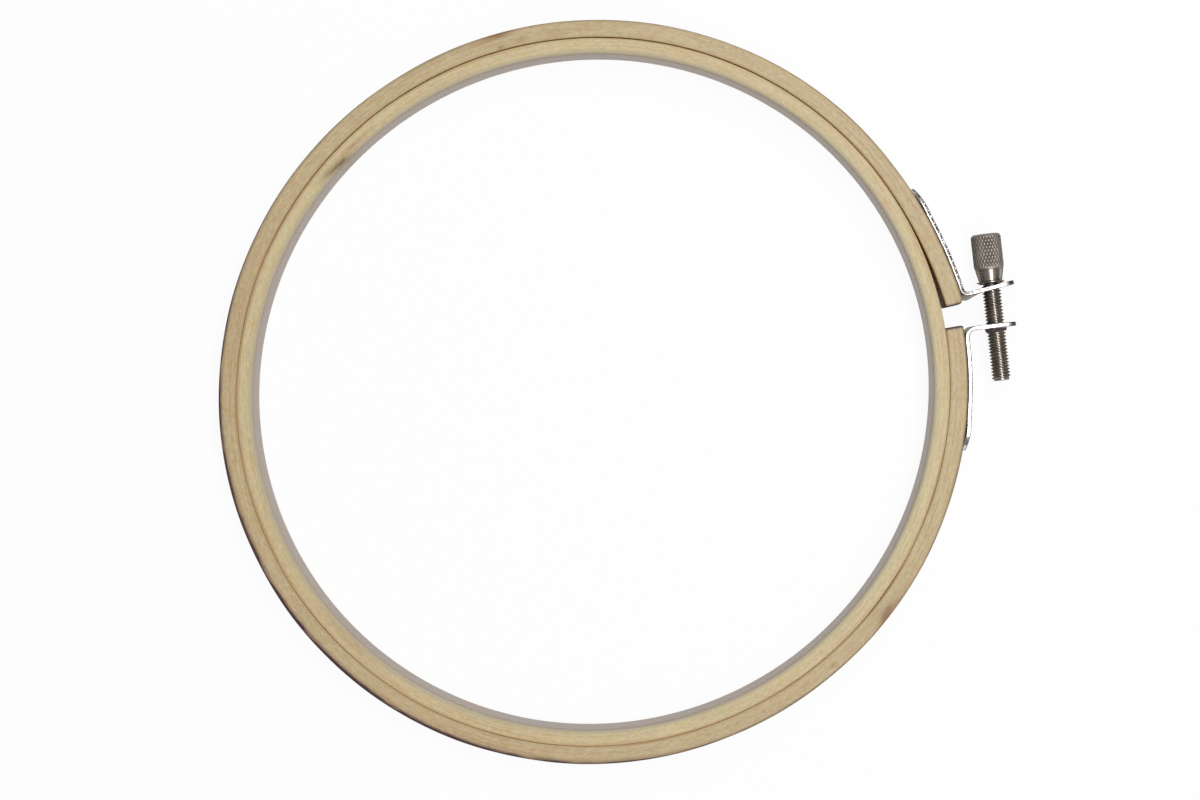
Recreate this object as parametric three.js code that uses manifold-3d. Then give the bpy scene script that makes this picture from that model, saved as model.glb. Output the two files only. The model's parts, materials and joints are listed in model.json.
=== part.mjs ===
// Bamboo embroidery hoop for 15 cm work: two nested rings, the outer one split and drawn
// together by a thumbscrew. Millimetres, Z up. The hoop lies flat on its underside, and the
// origin is under the middle of its footprint.

import * as THREE from 'three';
import Module from 'manifold-3d';
import { mergeVertices } from 'three/addons/utils/BufferGeometryUtils.js';

// Bent bamboo strips
const innerRingDiameter = 151;
const innerRingWall = 3.4;
const outerRingWall = 3.7;
const ringHeight = 10;
const stripEdgeRadius = 0.5;
const nestClearance = 0.3;

// Slightly oval shape of both rings, with the direction of the long axis in degrees
const ovalSwell = 0.6;
const ovalAngle = 31;

// Split in the outer ring, and the upper end that has sprung away from the inner ring
const splitAngle = 11.9;
const splitGap = 4.3;
const lowerEndCorner = 0.5;
const upperEndCorner = 1.3;
const upperEndLift = 1.1;
const upperLiftSpan = 22.5;

// Far side of the outer ring, where the two arms bend apart
const flexAngle = 174;
const flexKerf = 0.3;

// Bent steel brackets
const strapThickness = 0.9;
const strapWidth = 8.4;
const strapSeatGap = 0.3;
const legLength = 24;
const legArch = 0.2;
const bendSetback = 2.9;
const lowerBendRadius = 2;
const upperBendRadius = 1.3;
const lowerLugAngle = 6.5;
const upperLugAngle = 14.5;
const lowerLugLength = 8.85;
const upperLugLength = 10;

// Thumbscrew, metric thread
const screwReach = 4.6;
const threadDiameter = 4;
const threadPitch = 0.7;
const threadDepth = 0.4;
const threadHalfAngle = 30;
const shankLength = 21.4;
const neckDiameter = 5.3;
const neckLength = 2.5;
const headDiameter = 6.4;
const headLength = 7.6;
const headCorner = 0.5;

// Washer under the thumbscrew, its seat and the holes that the screw passes
const washerDiameter = 5.8;
const washerThickness = 0.35;
const washerSeatGap = 0.2;
const washerBoreClearance = 0.3;
const lugHoleClearance = 0.4;
const tapClearance = 0.2;
const collarHeight = 0.8;
const collarWall = 0.5;
const collarTaper = 0.2;

// Countersunk tacks, two through each leg
const tackSpacing = 5;
const tackLength = 4;
const tackShankDiameter = 1.2;
const tackPointLength = 0.8;
const tackHeadDiameter = 2.8;
const tackHeadDepth = 0.6;
const tackRimHeight = 0.1;
const tackClearance = 0.3;

// Fineness of the curved surfaces
const ringSteps = 96;
const cornerSteps = 4;
const bendSteps = 7;
const legSteps = 12;
const threadSteps = 12;
const roundSides = 32;
const tackSides = 16;

const midHeight = ringHeight / 2;
const radians = THREE.MathUtils.degToRad;
const degrees = THREE.MathUtils.radToDeg;

const wasm = await Module();
wasm.setup();

const bamboo = (color) => new THREE.MeshStandardMaterial({ color, roughness: 0.55, metalness: 0 });
const plated = (color, roughness) => new THREE.MeshStandardMaterial({ color, roughness, metalness: 1 });

// Unit vector in plan at an angle in degrees, counter-clockwise from +X.
function heading(angle) {
  return new THREE.Vector3(Math.cos(radians(angle)), Math.sin(radians(angle)), 0);
}

// Point at an angle, a radius from the hoop's centre and a height.
function polar(angle, radius, height) {
  return heading(angle).multiplyScalar(radius).setZ(height);
}

// Closed solid over convex rings of points, one ring per station along its length. A ring runs
// counter-clockwise about the direction of travel. A body that joins up has no ends.
function skin(rings, joinsUp = false) {
  const sides = rings[0].length;
  const spans = joinsUp ? rings.length : rings.length - 1;
  const faces = [];
  for (let span = 0; span < spans; span += 1) {
    const near = span * sides;
    const far = ((span + 1) % rings.length) * sides;
    for (let side = 0; side < sides; side += 1) {
      const next = (side + 1) % sides;
      faces.push(near + side, near + next, far + next);
      faces.push(near + side, far + next, far + side);
    }
  }
  const last = (rings.length - 1) * sides;
  for (let side = 1; side < sides - 1 && !joinsUp; side += 1) {
    faces.push(0, side + 1, side);
    faces.push(last, last + side, last + side + 1);
  }
  return indexed(rings.flat().flatMap((point) => point.toArray()), faces);
}

// Geometry from a flat list of coordinates and a flat list of corner numbers.
function indexed(coordinates, faces) {
  const geometry = new THREE.BufferGeometry();
  geometry.setAttribute('position', new THREE.BufferAttribute(new Float32Array(coordinates), 3));
  geometry.setIndex(faces);
  return geometry;
}

// Geometry with its shared points merged and its collapsed triangles dropped.
function welded(geometry) {
  const bare = geometry.clone();
  bare.deleteAttribute('normal');
  bare.deleteAttribute('uv');
  const merged = mergeVertices(bare, 1e-5);
  const corners = merged.index.array;
  const faces = [];
  for (let first = 0; first < corners.length; first += 3) {
    const [a, b, c] = corners.slice(first, first + 3);
    if (a !== b && b !== c && c !== a) {
      faces.push(a, b, c);
    }
  }
  merged.setIndex(faces);
  return merged;
}

// Body of revolution about Z. The profile gives radius and height, and climbs from the axis
// back to the axis, or closes on itself.
function turned(profile, sides) {
  const points = profile.map(([radius, height]) => new THREE.Vector2(radius, height));
  return welded(new THREE.LatheGeometry(points, sides).rotateX(Math.PI / 2));
}

function solidOf(geometry) {
  const body = welded(geometry);
  return new wasm.Manifold(new wasm.Mesh({
    numProp: 3,
    vertProperties: body.attributes.position.array,
    triVerts: new Uint32Array(body.index.array),
  }));
}

function geometryOf(solid) {
  const mesh = solid.getMesh();
  return indexed(mesh.vertProperties, Array.from(mesh.triVerts));
}

// First geometry with all the others cut out of it.
function cut(geometry, cutters) {
  const body = cutters.reduce((left, cutter) => left.subtract(solidOf(cutter)), solidOf(geometry));
  return geometryOf(body);
}

function joined(first, second) {
  return geometryOf(solidOf(first).add(solidOf(second)));
}

function named(name, geometry, material) {
  const mesh = new THREE.Mesh(geometry, material);
  mesh.name = name;
  return mesh;
}

// Plan shape of the rings

const swell = (angle) => ovalSwell * Math.cos(2 * radians(angle - ovalAngle));
const innerRingOutside = (angle) => innerRingDiameter / 2 + swell(angle);
const lowerArmInside = (angle) => innerRingOutside(angle) + nestClearance;

const armMiddle = innerRingDiameter / 2 + nestClearance + outerRingWall / 2;
const halfSplit = degrees(splitGap / 2 / armMiddle);
const lowerEndAngle = splitAngle - halfSplit;
const upperEndAngle = splitAngle + halfSplit;

// The upper arm leaves the inner ring along a parabola towards its free end.
function upperArmInside(angle) {
  const share = Math.max(0, upperEndAngle + upperLiftSpan - angle) / upperLiftSpan;
  return lowerArmInside(angle) + upperEndLift * share ** 2;
}

// Cross-section of a strip as radius and height, with its four long edges rounded.
function stripSection(inside, outside) {
  const inner = inside + stripEdgeRadius;
  const outer = outside - stripEdgeRadius;
  const low = stripEdgeRadius;
  const high = ringHeight - stripEdgeRadius;
  const outline = new THREE.Shape();
  outline.absarc(inner, low, stripEdgeRadius, Math.PI, 1.5 * Math.PI, false);
  outline.absarc(outer, low, stripEdgeRadius, -0.5 * Math.PI, 0, false);
  outline.absarc(outer, high, stripEdgeRadius, 0, 0.5 * Math.PI, false);
  outline.absarc(inner, high, stripEdgeRadius, 0.5 * Math.PI, Math.PI, false);
  return outline.getPoints(1);
}

function stripRing(angle, inside, outside) {
  return stripSection(inside, outside).map((point) => polar(angle, point.x, point.y));
}

// One strip bent round and glued end to end with a long scarf.
function innerRing() {
  const rings = [];
  for (let step = 0; step < ringSteps; step += 1) {
    const angle = -360 * step / ringSteps;
    const outside = innerRingOutside(angle);
    rings.push(stripRing(angle, outside - innerRingWall, outside));
  }
  return skin(rings, true);
}

// Stations of an arm's free end, where the outer corner is rounded in plan. Each gives its
// distance from the end and how much of the wall the corner takes away there.
function endStations(corner) {
  const stations = [];
  for (let step = 0; step <= cornerSteps; step += 1) {
    const turn = 0.5 * Math.PI * step / cornerSteps;
    stations.push({ back: corner * (1 - Math.cos(turn)), taken: corner * (1 - Math.sin(turn)) });
  }
  return stations;
}

// Arm of the outer ring from its free end round to its foot at the flexing place. It runs
// clockwise where the direction is -1.
function ringArm(freeAngle, footAngle, inside, corner) {
  const direction = Math.sign(footAngle - freeAngle);
  const rings = endStations(corner).map(({ back, taken }) => {
    const angle = freeAngle + direction * degrees(back / armMiddle);
    return stripRing(angle, inside(angle), inside(angle) + outerRingWall - taken);
  });
  const start = freeAngle + direction * degrees(corner / armMiddle);
  const steps = Math.ceil(ringSteps * Math.abs(footAngle - start) / 360);
  for (let step = 1; step <= steps; step += 1) {
    const angle = start + (footAngle - start) * step / steps;
    rings.push(stripRing(angle, inside(angle), inside(angle) + outerRingWall));
  }
  return skin(direction < 0 ? rings : rings.reverse());
}

// Brackets

// Stations of a rounded strap end: distance from the tip, and half the width there.
function roundEnd() {
  const radius = strapWidth / 2;
  const stations = [];
  for (let step = 1; step <= cornerSteps + 1; step += 1) {
    const turn = 0.5 * Math.PI * step / (cornerSteps + 1);
    stations.push({ back: radius * (1 - Math.cos(turn)), half: radius * Math.sin(turn) });
  }
  return stations;
}

// Half the width of the strap at a distance from its nearer tip.
function halfWidthAt(fromTip) {
  const radius = strapWidth / 2;
  const depth = Math.min(fromTip, radius);
  return Math.sqrt(radius ** 2 - (radius - depth) ** 2);
}

// How far a leg arches off the wood at a distance from its free end.
function archAt(fromTip) {
  const span = (legLength - tackSpacing - tackHeadDiameter) / 2;
  const share = Math.min(1, fromTip / span);
  return legArch * Math.sin(Math.PI * share) ** 2;
}

// The middle line of a bracket in plan. It has a leg on the wood, a bend and a straight lug.
// The side is 1 where the leg runs counter-clockwise to its bend, and -1 where it runs back.
function bracketLine({ side, endAngle, inside, bendRadius, lugAngle, lugLength }) {
  const seat = outerRingWall + strapSeatGap + strapThickness / 2;
  const bendAngle = endAngle - side * degrees(bendSetback / armMiddle);
  const legRadius = (angle) => inside(angle) + seat;
  const legStart = legRadius(bendAngle);
  const bendCentre = polar(bendAngle, legStart + bendRadius, midHeight);
  const onBend = (angle) => bendCentre.clone().addScaledVector(heading(angle + 90), side * bendRadius);
  const lugStart = onBend(lugAngle);
  const legAt = (fromBend) => {
    const angle = bendAngle - side * degrees(fromBend / legStart);
    const arch = archAt(legLength - fromBend);
    return { angle, point: polar(angle, legRadius(angle) + arch, midHeight) };
  };
  return { side, bendAngle, lugAngle, lugLength, lugStart, legAt, onBend };
}

// Stations along a bracket: the middle point, the direction of travel and half the width.
function bracketStations({ side, bendAngle, lugAngle, lugLength, lugStart, legAt, onBend }) {
  const stations = [];
  const addLeg = (fromTip) => {
    const { angle, point } = legAt(legLength - fromTip);
    stations.push({ point, travel: angle + side * 90, half: halfWidthAt(fromTip) });
  };
  roundEnd().forEach(({ back }) => addLeg(back));
  const straight = legLength - strapWidth / 2;
  for (let step = 1; step <= legSteps; step += 1) {
    addLeg(strapWidth / 2 + straight * step / legSteps);
  }
  const from = bendAngle + side * 90;
  for (let step = 1; step <= bendSteps; step += 1) {
    const travel = from + (lugAngle - from) * step / bendSteps;
    stations.push({ point: onBend(travel), travel, half: strapWidth / 2 });
  }
  roundEnd().reverse().forEach(({ back, half }) => {
    const point = lugStart.clone().addScaledVector(heading(lugAngle), lugLength - back);
    stations.push({ point, travel: lugAngle, half });
  });
  return stations;
}

// A flat strap carried along a bracket's line, standing on edge.
function strap(line) {
  const rings = bracketStations(line).map(({ point, travel, half }) => {
    const across = heading(travel + 90).multiplyScalar(strapThickness / 2);
    const up = new THREE.Vector3(0, 0, half);
    return [[-1, -1], [1, -1], [1, 1], [-1, 1]].map(([left, top]) => (
      point.clone().addScaledVector(across, left).addScaledVector(up, top)
    ));
  });
  return skin(rings);
}

const lowerLine = bracketLine({
  side: 1,
  endAngle: lowerEndAngle,
  inside: lowerArmInside,
  bendRadius: lowerBendRadius,
  lugAngle: lowerLugAngle,
  lugLength: lowerLugLength,
});

const upperLine = bracketLine({
  side: -1,
  endAngle: upperEndAngle,
  inside: upperArmInside,
  bendRadius: upperBendRadius,
  lugAngle: upperLugAngle,
  lugLength: upperLugLength,
});

// Frame of the screw: Z runs along its axis towards the head, square to the lower lug, and the
// zero point is in the middle of that lug.

function placedAlong(point, direction) {
  const frame = new THREE.Object3D();
  frame.position.copy(point);
  frame.quaternion.setFromUnitVectors(new THREE.Vector3(0, 0, 1), direction);
  frame.updateMatrix();
  return frame;
}

const screwFoot = lowerLine.lugStart.clone().addScaledVector(heading(lowerLugAngle), screwReach);
const screwAxis = heading(lowerLugAngle + 90);
const screwFrame = placedAlong(screwFoot, screwAxis);

// Height on the screw's axis at which it crosses the middle of the upper lug.
function upperCrossing() {
  const cross = (first, second) => first.x * second.y - first.y * second.x;
  const lug = heading(upperLugAngle);
  const apart = upperLine.lugStart.clone().sub(screwFoot);
  return cross(apart, lug) / cross(screwAxis, lug);
}

const lugTilt = radians(upperLugAngle - lowerLugAngle);
const upperLugHeight = upperCrossing();
const washerSeat = upperLugHeight + strapThickness / 2 / Math.cos(lugTilt)
  + washerDiameter / 2 * Math.tan(Math.abs(lugTilt)) + washerSeatGap;
const neckSeat = washerSeat + washerThickness + washerSeatGap;
const screwTip = neckSeat - shankLength;

const crestRadius = threadDiameter / 2;
const rootRadius = crestRadius - threadDepth;

// A threaded rod stands on z = 0 and has a right-handed ridge. Its points stand in columns, one
// at each angle, and the ridge in a column lies a share of the pitch above the one before. The
// ridge has three rows of points a turn, foot, crest and foot, and each column has one more
// point at either end.
const rowsPerTurn = 3;
const crestRow = 1;
const threadLead = 0.1 * threadPitch;
const threadFlank = threadDepth * Math.tan(radians(threadHalfAngle));

// Share of its full height that the ridge has: none for a pitch at either end, and then it
// grows over another pitch.
function ridgeShare(height, length) {
  const fromEnd = Math.min(height, length - height);
  return THREE.MathUtils.clamp(fromEnd / threadPitch - 1, 0, 1);
}

function threadPoints(root, crest, length, turns) {
  const points = [];
  for (let column = 0; column < threadSteps; column += 1) {
    const angle = 360 * column / threadSteps;
    const start = threadLead + threadPitch * column / threadSteps;
    points.push(polar(angle, root, 0));
    for (let turn = 0; turn < turns; turn += 1) {
      for (let row = 0; row < rowsPerTurn; row += 1) {
        const height = start + threadPitch * turn + threadFlank * row;
        const ridge = row === crestRow ? (crest - root) * ridgeShare(height, length) : 0;
        points.push(polar(angle, root + ridge, height));
      }
    }
    points.push(polar(angle, root, length));
  }
  return points;
}

// Triangles of the rod's side. The last column meets the first one turn higher up, so a fan at
// either end takes up the difference.
function threadSide(topRow, at) {
  const faces = [];
  const last = threadSteps - 1;
  for (let column = 0; column < last; column += 1) {
    for (let row = 0; row < topRow; row += 1) {
      faces.push(at(column, row), at(column + 1, row), at(column + 1, row + 1));
      faces.push(at(column, row), at(column + 1, row + 1), at(column, row + 1));
    }
  }
  const upperFan = topRow - 1 - rowsPerTurn;
  faces.push(at(last, 1), at(last, 0), at(0, 0));
  for (let row = 0; row <= rowsPerTurn; row += 1) {
    faces.push(at(last, 1), at(0, row), at(0, row + 1));
  }
  for (let row = 1; row < upperFan; row += 1) {
    const above = row + rowsPerTurn;
    faces.push(at(last, row), at(0, above), at(0, above + 1));
    faces.push(at(last, row), at(0, above + 1), at(last, row + 1));
  }
  for (let row = upperFan; row < topRow; row += 1) {
    faces.push(at(0, topRow - 1), at(last, row + 1), at(last, row));
  }
  faces.push(at(0, topRow - 1), at(0, topRow), at(last, topRow));
  return faces;
}

function threadedRod(root, crest, length) {
  const turns = Math.floor(length / threadPitch) - 1;
  const topRow = rowsPerTurn * turns + 1;
  const at = (column, row) => column * (topRow + 1) + row;
  const points = threadPoints(root, crest, length, turns);
  const faces = threadSide(topRow, at);
  const bottom = points.push(new THREE.Vector3(0, 0, 0)) - 1;
  const top = points.push(new THREE.Vector3(0, 0, length)) - 1;
  for (let column = 0; column < threadSteps; column += 1) {
    const next = (column + 1) % threadSteps;
    faces.push(bottom, at(next, 0), at(column, 0));
    faces.push(top, at(column, topRow), at(next, topRow));
  }
  return indexed(points.flatMap((point) => point.toArray()), faces);
}

// Thumbscrew turned in one piece: threaded shank, conical neck and round head.
function thumbscrew() {
  const rootInHead = neckLength / 2;
  const shank = threadedRod(rootRadius, crestRadius, shankLength + rootInHead);
  shank.translate(0, 0, screwTip);
  const headFoot = neckSeat + neckLength;
  const headTop = headFoot + headLength;
  const profile = [[0, neckSeat], [neckDiameter / 2, neckSeat], [headDiameter / 2, headFoot]];
  for (let step = 0; step <= cornerSteps; step += 1) {
    const turn = 0.5 * Math.PI * step / cornerSteps;
    const radius = headDiameter / 2 - headCorner * (1 - Math.cos(turn));
    profile.push([radius, headTop - headCorner * (1 - Math.sin(turn))]);
  }
  profile.push([0, headTop]);
  return joined(turned(profile, roundSides), shank);
}

function washer() {
  const bore = crestRadius + washerBoreClearance;
  const rim = washerDiameter / 2;
  const top = washerSeat + washerThickness;
  const profile = [[bore, washerSeat], [rim, washerSeat], [rim, top], [bore, top], [bore, washerSeat]];
  return turned(profile, roundSides);
}

// Tacks

// Outline of a tack with its flat head at z = 0 and its point below, grown on all sides.
function tackOutline(grown) {
  const shank = tackShankDiameter / 2 + grown;
  const head = tackHeadDiameter / 2 + grown;
  return [
    [0, -tackLength - grown],
    [shank, -tackLength + tackPointLength],
    [shank, -tackHeadDepth],
    [head, -tackRimHeight],
    [head, grown],
    [0, grown],
  ];
}

// Places of a bracket's tacks, either side of the middle of its leg, flush with its outer face.
function tackFrames(line) {
  return [-0.5, 0.5].map((share) => {
    const { angle, point } = line.legAt(legLength / 2 + share * tackSpacing);
    const outward = heading(angle);
    return placedAlong(point.addScaledVector(outward, strapThickness / 2), outward);
  });
}

function tackCutters(line) {
  return tackFrames(line).map((frame) => (
    turned(tackOutline(tackClearance), tackSides).applyMatrix4(frame.matrix)
  ));
}

// Lower bracket, whose lug has a tapered collar drawn from it and tapped for the screw.
function lowerBracket() {
  const outerRadius = crestRadius + tapClearance + collarWall;
  const foot = -strapThickness / 2 - collarHeight;
  const collar = turned([
    [0, foot],
    [outerRadius - collarTaper, foot],
    [outerRadius, foot + collarHeight],
    [0, foot + collarHeight + strapThickness / 2],
  ], roundSides).applyMatrix4(screwFrame.matrix);
  const tap = threadedRod(rootRadius + tapClearance, crestRadius + tapClearance, shankLength);
  tap.translate(0, 0, screwTip).applyMatrix4(screwFrame.matrix);
  return cut(joined(strap(lowerLine), collar), [tap, ...tackCutters(lowerLine)]);
}

// Upper bracket, whose lug has a plain hole square to it that clears the screw.
function upperBracket() {
  const place = screwFoot.clone().addScaledVector(screwAxis, upperLugHeight);
  const drill = placedAlong(place, heading(upperLugAngle + 90));
  const holeRadius = crestRadius + lugHoleClearance;
  const hole = new THREE.CylinderGeometry(holeRadius, holeRadius, 2 * strapThickness, roundSides);
  hole.rotateX(Math.PI / 2).applyMatrix4(drill.matrix);
  return cut(strap(upperLine), [hole, ...tackCutters(upperLine)]);
}

// Assembly

const innerBamboo = bamboo(0xd4bd8c);
const outerBamboo = bamboo(0xc6ad82);
const bracketSteel = plated(0xc9c7c2, 0.3);
const screwSteel = plated(0x8d8a80, 0.35);

function tacks(prefix, line) {
  return tackFrames(line).map((frame, index) => {
    const tack = named(`${prefix}_tack_${index + 1}`, turned(tackOutline(0), tackSides), bracketSteel);
    tack.position.copy(frame.position);
    tack.quaternion.copy(frame.quaternion);
    return tack;
  });
}

function lowerArmGroup() {
  const group = new THREE.Group();
  const footAngle = flexAngle - 360 + degrees(flexKerf / 2 / armMiddle);
  const arm = ringArm(lowerEndAngle, footAngle, lowerArmInside, lowerEndCorner);
  group.add(named('outer_ring_lower_arm', cut(arm, tackCutters(lowerLine)), outerBamboo));
  group.add(named('lower_bracket', lowerBracket(), bracketSteel));
  group.add(...tacks('lower', lowerLine));
  return group;
}

function upperArmGroup() {
  const group = new THREE.Group();
  const footAngle = flexAngle - degrees(flexKerf / 2 / armMiddle);
  const arm = ringArm(upperEndAngle, footAngle, upperArmInside, upperEndCorner);
  group.add(named('outer_ring_upper_arm', cut(arm, tackCutters(upperLine)), outerBamboo));
  group.add(named('upper_bracket', upperBracket(), bracketSteel));
  group.add(...tacks('upper', upperLine));
  return group;
}

function screwGroup() {
  const group = new THREE.Group();
  group.position.copy(screwFrame.position);
  group.quaternion.copy(screwFrame.quaternion);
  group.add(named('thumbscrew', thumbscrew(), screwSteel));
  group.add(named('screw_washer', washer(), bracketSteel));
  return group;
}

const hoop = new THREE.Group();
hoop.add(named('inner_ring', innerRing(), innerBamboo));
hoop.add(lowerArmGroup(), upperArmGroup(), screwGroup());

const footprint = new THREE.Box3().setFromObject(hoop);
const middle = footprint.getCenter(new THREE.Vector3());
hoop.position.set(-middle.x, -middle.y, 0);

export default hoop;
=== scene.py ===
"""Round bamboo embroidery hoop: its looks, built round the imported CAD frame.

The hoop has an inner ring, a split outer ring, two bent steel straps tacked to the
free ends of the outer ring, and a knurled thumbscrew with a washer that draws the
straps together. Sizes in the classes are millimetres from the hoop's centre, and angles
in plan are degrees, counter-clockwise from +X. Finished meshes are in metres in the row
frame.
"""

import json
import logging
from dataclasses import dataclass, field
from enum import Enum
from typing import Any, Sequence

import bmesh
import bpy
import numpy as np
from mathutils import Matrix, Vector


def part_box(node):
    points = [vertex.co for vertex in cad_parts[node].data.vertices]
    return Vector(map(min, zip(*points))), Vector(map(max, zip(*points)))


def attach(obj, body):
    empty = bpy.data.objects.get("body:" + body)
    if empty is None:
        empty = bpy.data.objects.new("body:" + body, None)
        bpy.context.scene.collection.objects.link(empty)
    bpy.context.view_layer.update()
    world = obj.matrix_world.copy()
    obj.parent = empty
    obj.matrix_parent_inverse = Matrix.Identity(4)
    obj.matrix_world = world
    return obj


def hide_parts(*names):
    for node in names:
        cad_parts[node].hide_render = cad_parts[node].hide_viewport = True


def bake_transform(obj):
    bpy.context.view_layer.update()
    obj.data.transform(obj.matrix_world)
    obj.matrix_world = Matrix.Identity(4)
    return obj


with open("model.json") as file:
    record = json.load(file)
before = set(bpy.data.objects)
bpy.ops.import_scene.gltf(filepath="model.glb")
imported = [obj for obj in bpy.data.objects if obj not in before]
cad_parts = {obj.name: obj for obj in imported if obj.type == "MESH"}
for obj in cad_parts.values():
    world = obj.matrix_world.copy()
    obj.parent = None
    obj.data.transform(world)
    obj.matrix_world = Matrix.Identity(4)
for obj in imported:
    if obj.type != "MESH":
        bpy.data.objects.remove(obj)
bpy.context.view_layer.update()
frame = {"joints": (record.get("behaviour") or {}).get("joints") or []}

MM = 0.001
# Points nearer than this, in metres, are one point
MERGE_REACH = 3e-7
# Angle in radians by which each sine of a ripple starts past the one before
PHASE_STEP = 1.7
LOG = logging.getLogger("hoop")
Array = np.ndarray


class Body(Enum):
    """Moving bodies of the frame."""

    LOWER_ARM = "lower_arm"
    UPPER_ARM = "upper_arm"
    INNER_RING = "inner_ring"
    WASHER = "washer"
    THUMBSCREW = "thumbscrew"


class Slot(Enum):
    """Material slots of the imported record."""

    INNER_BAMBOO = "inner_bamboo"
    OUTER_BAMBOO = "outer_bamboo"
    BRACKET_STEEL = "bracket_steel"
    SCREW_STEEL = "screw_steel"


class Side(Enum):
    """Which end of the outer ring a strap sits on. The value is its direction round the hoop."""

    LOWER = 1
    UPPER = -1


class Merge(Enum):
    """How another solid is worked into a piece. The value is Blender's name for it."""

    JOIN = "UNION"
    CUT = "DIFFERENCE"


class Tone(Enum):
    """Colour of a mark in the bamboo. The value is its place in the marks attribute."""

    # Stains, and the painted shade along the outer ring's rounded edge
    STAIN_AND_SHADE = 0
    RUST = 1
    GREEN = 2


def frame_joint(name: str) -> dict:
    """The frame's joint of a name."""
    return next(joint for joint in frame["joints"] if joint["name"] == name)


# Arithmetic shared by the shapes


def heading(angle: Array | float) -> Array:
    """Unit vectors in plan at angles in degrees, counter-clockwise from +X."""
    turn = np.radians(np.asarray(angle, float))
    return np.stack([np.cos(turn), np.sin(turn), np.zeros_like(turn)], axis=-1)


def quarter_round(radius: float, steps: int) -> Array:
    """Rounded edge: rows of (distance from the face it leaves, distance from the one it meets)."""
    turn = np.linspace(0.0, np.pi / 2, steps + 1)
    return radius * np.stack([1 - np.cos(turn), 1 - np.sin(turn)], axis=-1)


def ease_in(distance: Array, radius: float) -> Array:
    """How far a round of a radius keeps back from a face, by the distance from its start."""
    share = 1 - np.clip(distance / radius, 0.0, 1.0)
    return radius * (1 - np.sqrt(1 - share**2))


def ripple(along: Array, periods: Sequence[float], depth: float) -> Array:
    """Slow unevenness of hand-finished wood: a mean of sines with unrelated periods."""
    waves = [np.sin(2 * np.pi * along / period + PHASE_STEP * turn) for turn, period in enumerate(periods)]
    return depth * np.mean(waves, axis=0)


# Meshes


@dataclass
class Surface:
    """A grid of points in millimetres that becomes quads.

    The columns of a row run round the shape. A lid closes each open end of the rows.
    """

    points: Array
    rows_join: bool = False
    columns_join: bool = True
    lids: bool = True
    grain: Array | None = None
    marks: Array | None = None

    def quads(self) -> Array:
        """Corner numbers of the quads.

        Returns:
            One row of four point numbers per quad.
        """
        rows, columns = self.points.shape[:2]
        row = np.arange(rows if self.rows_join else rows - 1)[:, None]
        column = np.arange(columns if self.columns_join else columns - 1)[None, :]
        near, far = row * columns, (row + 1) % rows * columns
        left, right = column, (column + 1) % columns
        corners = [near + left, near + right, far + right, far + left]
        return np.stack(corners, axis=-1).reshape(-1, 4)

    def lid_rows(self) -> list[int]:
        """Numbers of the rows that a lid closes."""
        return [] if self.rows_join or not self.lids else [0, self.points.shape[0] - 1]

    def corner_grain(self) -> Array:
        """Grain coordinates at every face corner, in the order of the faces.

        The grain grid has one more row than the points where the rows join, so that the
        distance along the strip doesn't jump back to zero inside a face.

        Returns:
            One row of three numbers per corner, in metres.
        """
        rows, columns = self.points.shape[:2]
        if self.grain is None:
            count = 4 * len(self.quads()) + columns * len(self.lid_rows())
            return np.zeros((count, 3))
        spans = rows if self.rows_join else rows - 1
        row = np.arange(spans)[:, None]
        left = np.arange(columns if self.columns_join else columns - 1)[None, :]
        right = (left + 1) % columns
        corners = [self.grain[row, left], self.grain[row, right]]
        corners += [self.grain[row + 1, right], self.grain[row + 1, left]]
        body = np.stack(corners, axis=2).reshape(-1, 3)
        return np.concatenate([body, *(self.grain[row] for row in self.lid_rows())]) * MM


def settle(piece: bpy.types.Object) -> None:
    """Makes a piece's modifiers part of its mesh.

    Args:
        piece: The piece.
    """
    graph = bpy.context.evaluated_depsgraph_get()
    made = bpy.data.meshes.new_from_object(piece.evaluated_get(graph))
    worn = piece.data
    piece.modifiers.clear()
    piece.data = made
    bpy.data.meshes.remove(worn)


def weld(mesh: bpy.types.Mesh, crease: float) -> None:
    """Merges coinciding points, turns the faces outwards and shades them.

    Args:
        mesh: The mesh to finish.
        crease: Angle in degrees past which an edge stays sharp.
    """
    work = bmesh.new()
    work.from_mesh(mesh)
    bmesh.ops.remove_doubles(work, verts=work.verts, dist=MERGE_REACH)
    bmesh.ops.recalc_face_normals(work, faces=work.faces)
    work.to_mesh(mesh)
    work.free()
    mesh.shade_smooth()
    mesh.set_sharp_from_angle(angle=np.radians(crease))


def new_object(name: str, data: bpy.types.ID) -> bpy.types.Object:
    """An object of the scene that shows a mesh, a lamp or a camera.

    Args:
        name: Its name.
        data: What it shows.

    Returns:
        The object.
    """
    made = bpy.data.objects.new(name, data)
    bpy.context.scene.collection.objects.link(made)
    return made


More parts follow.
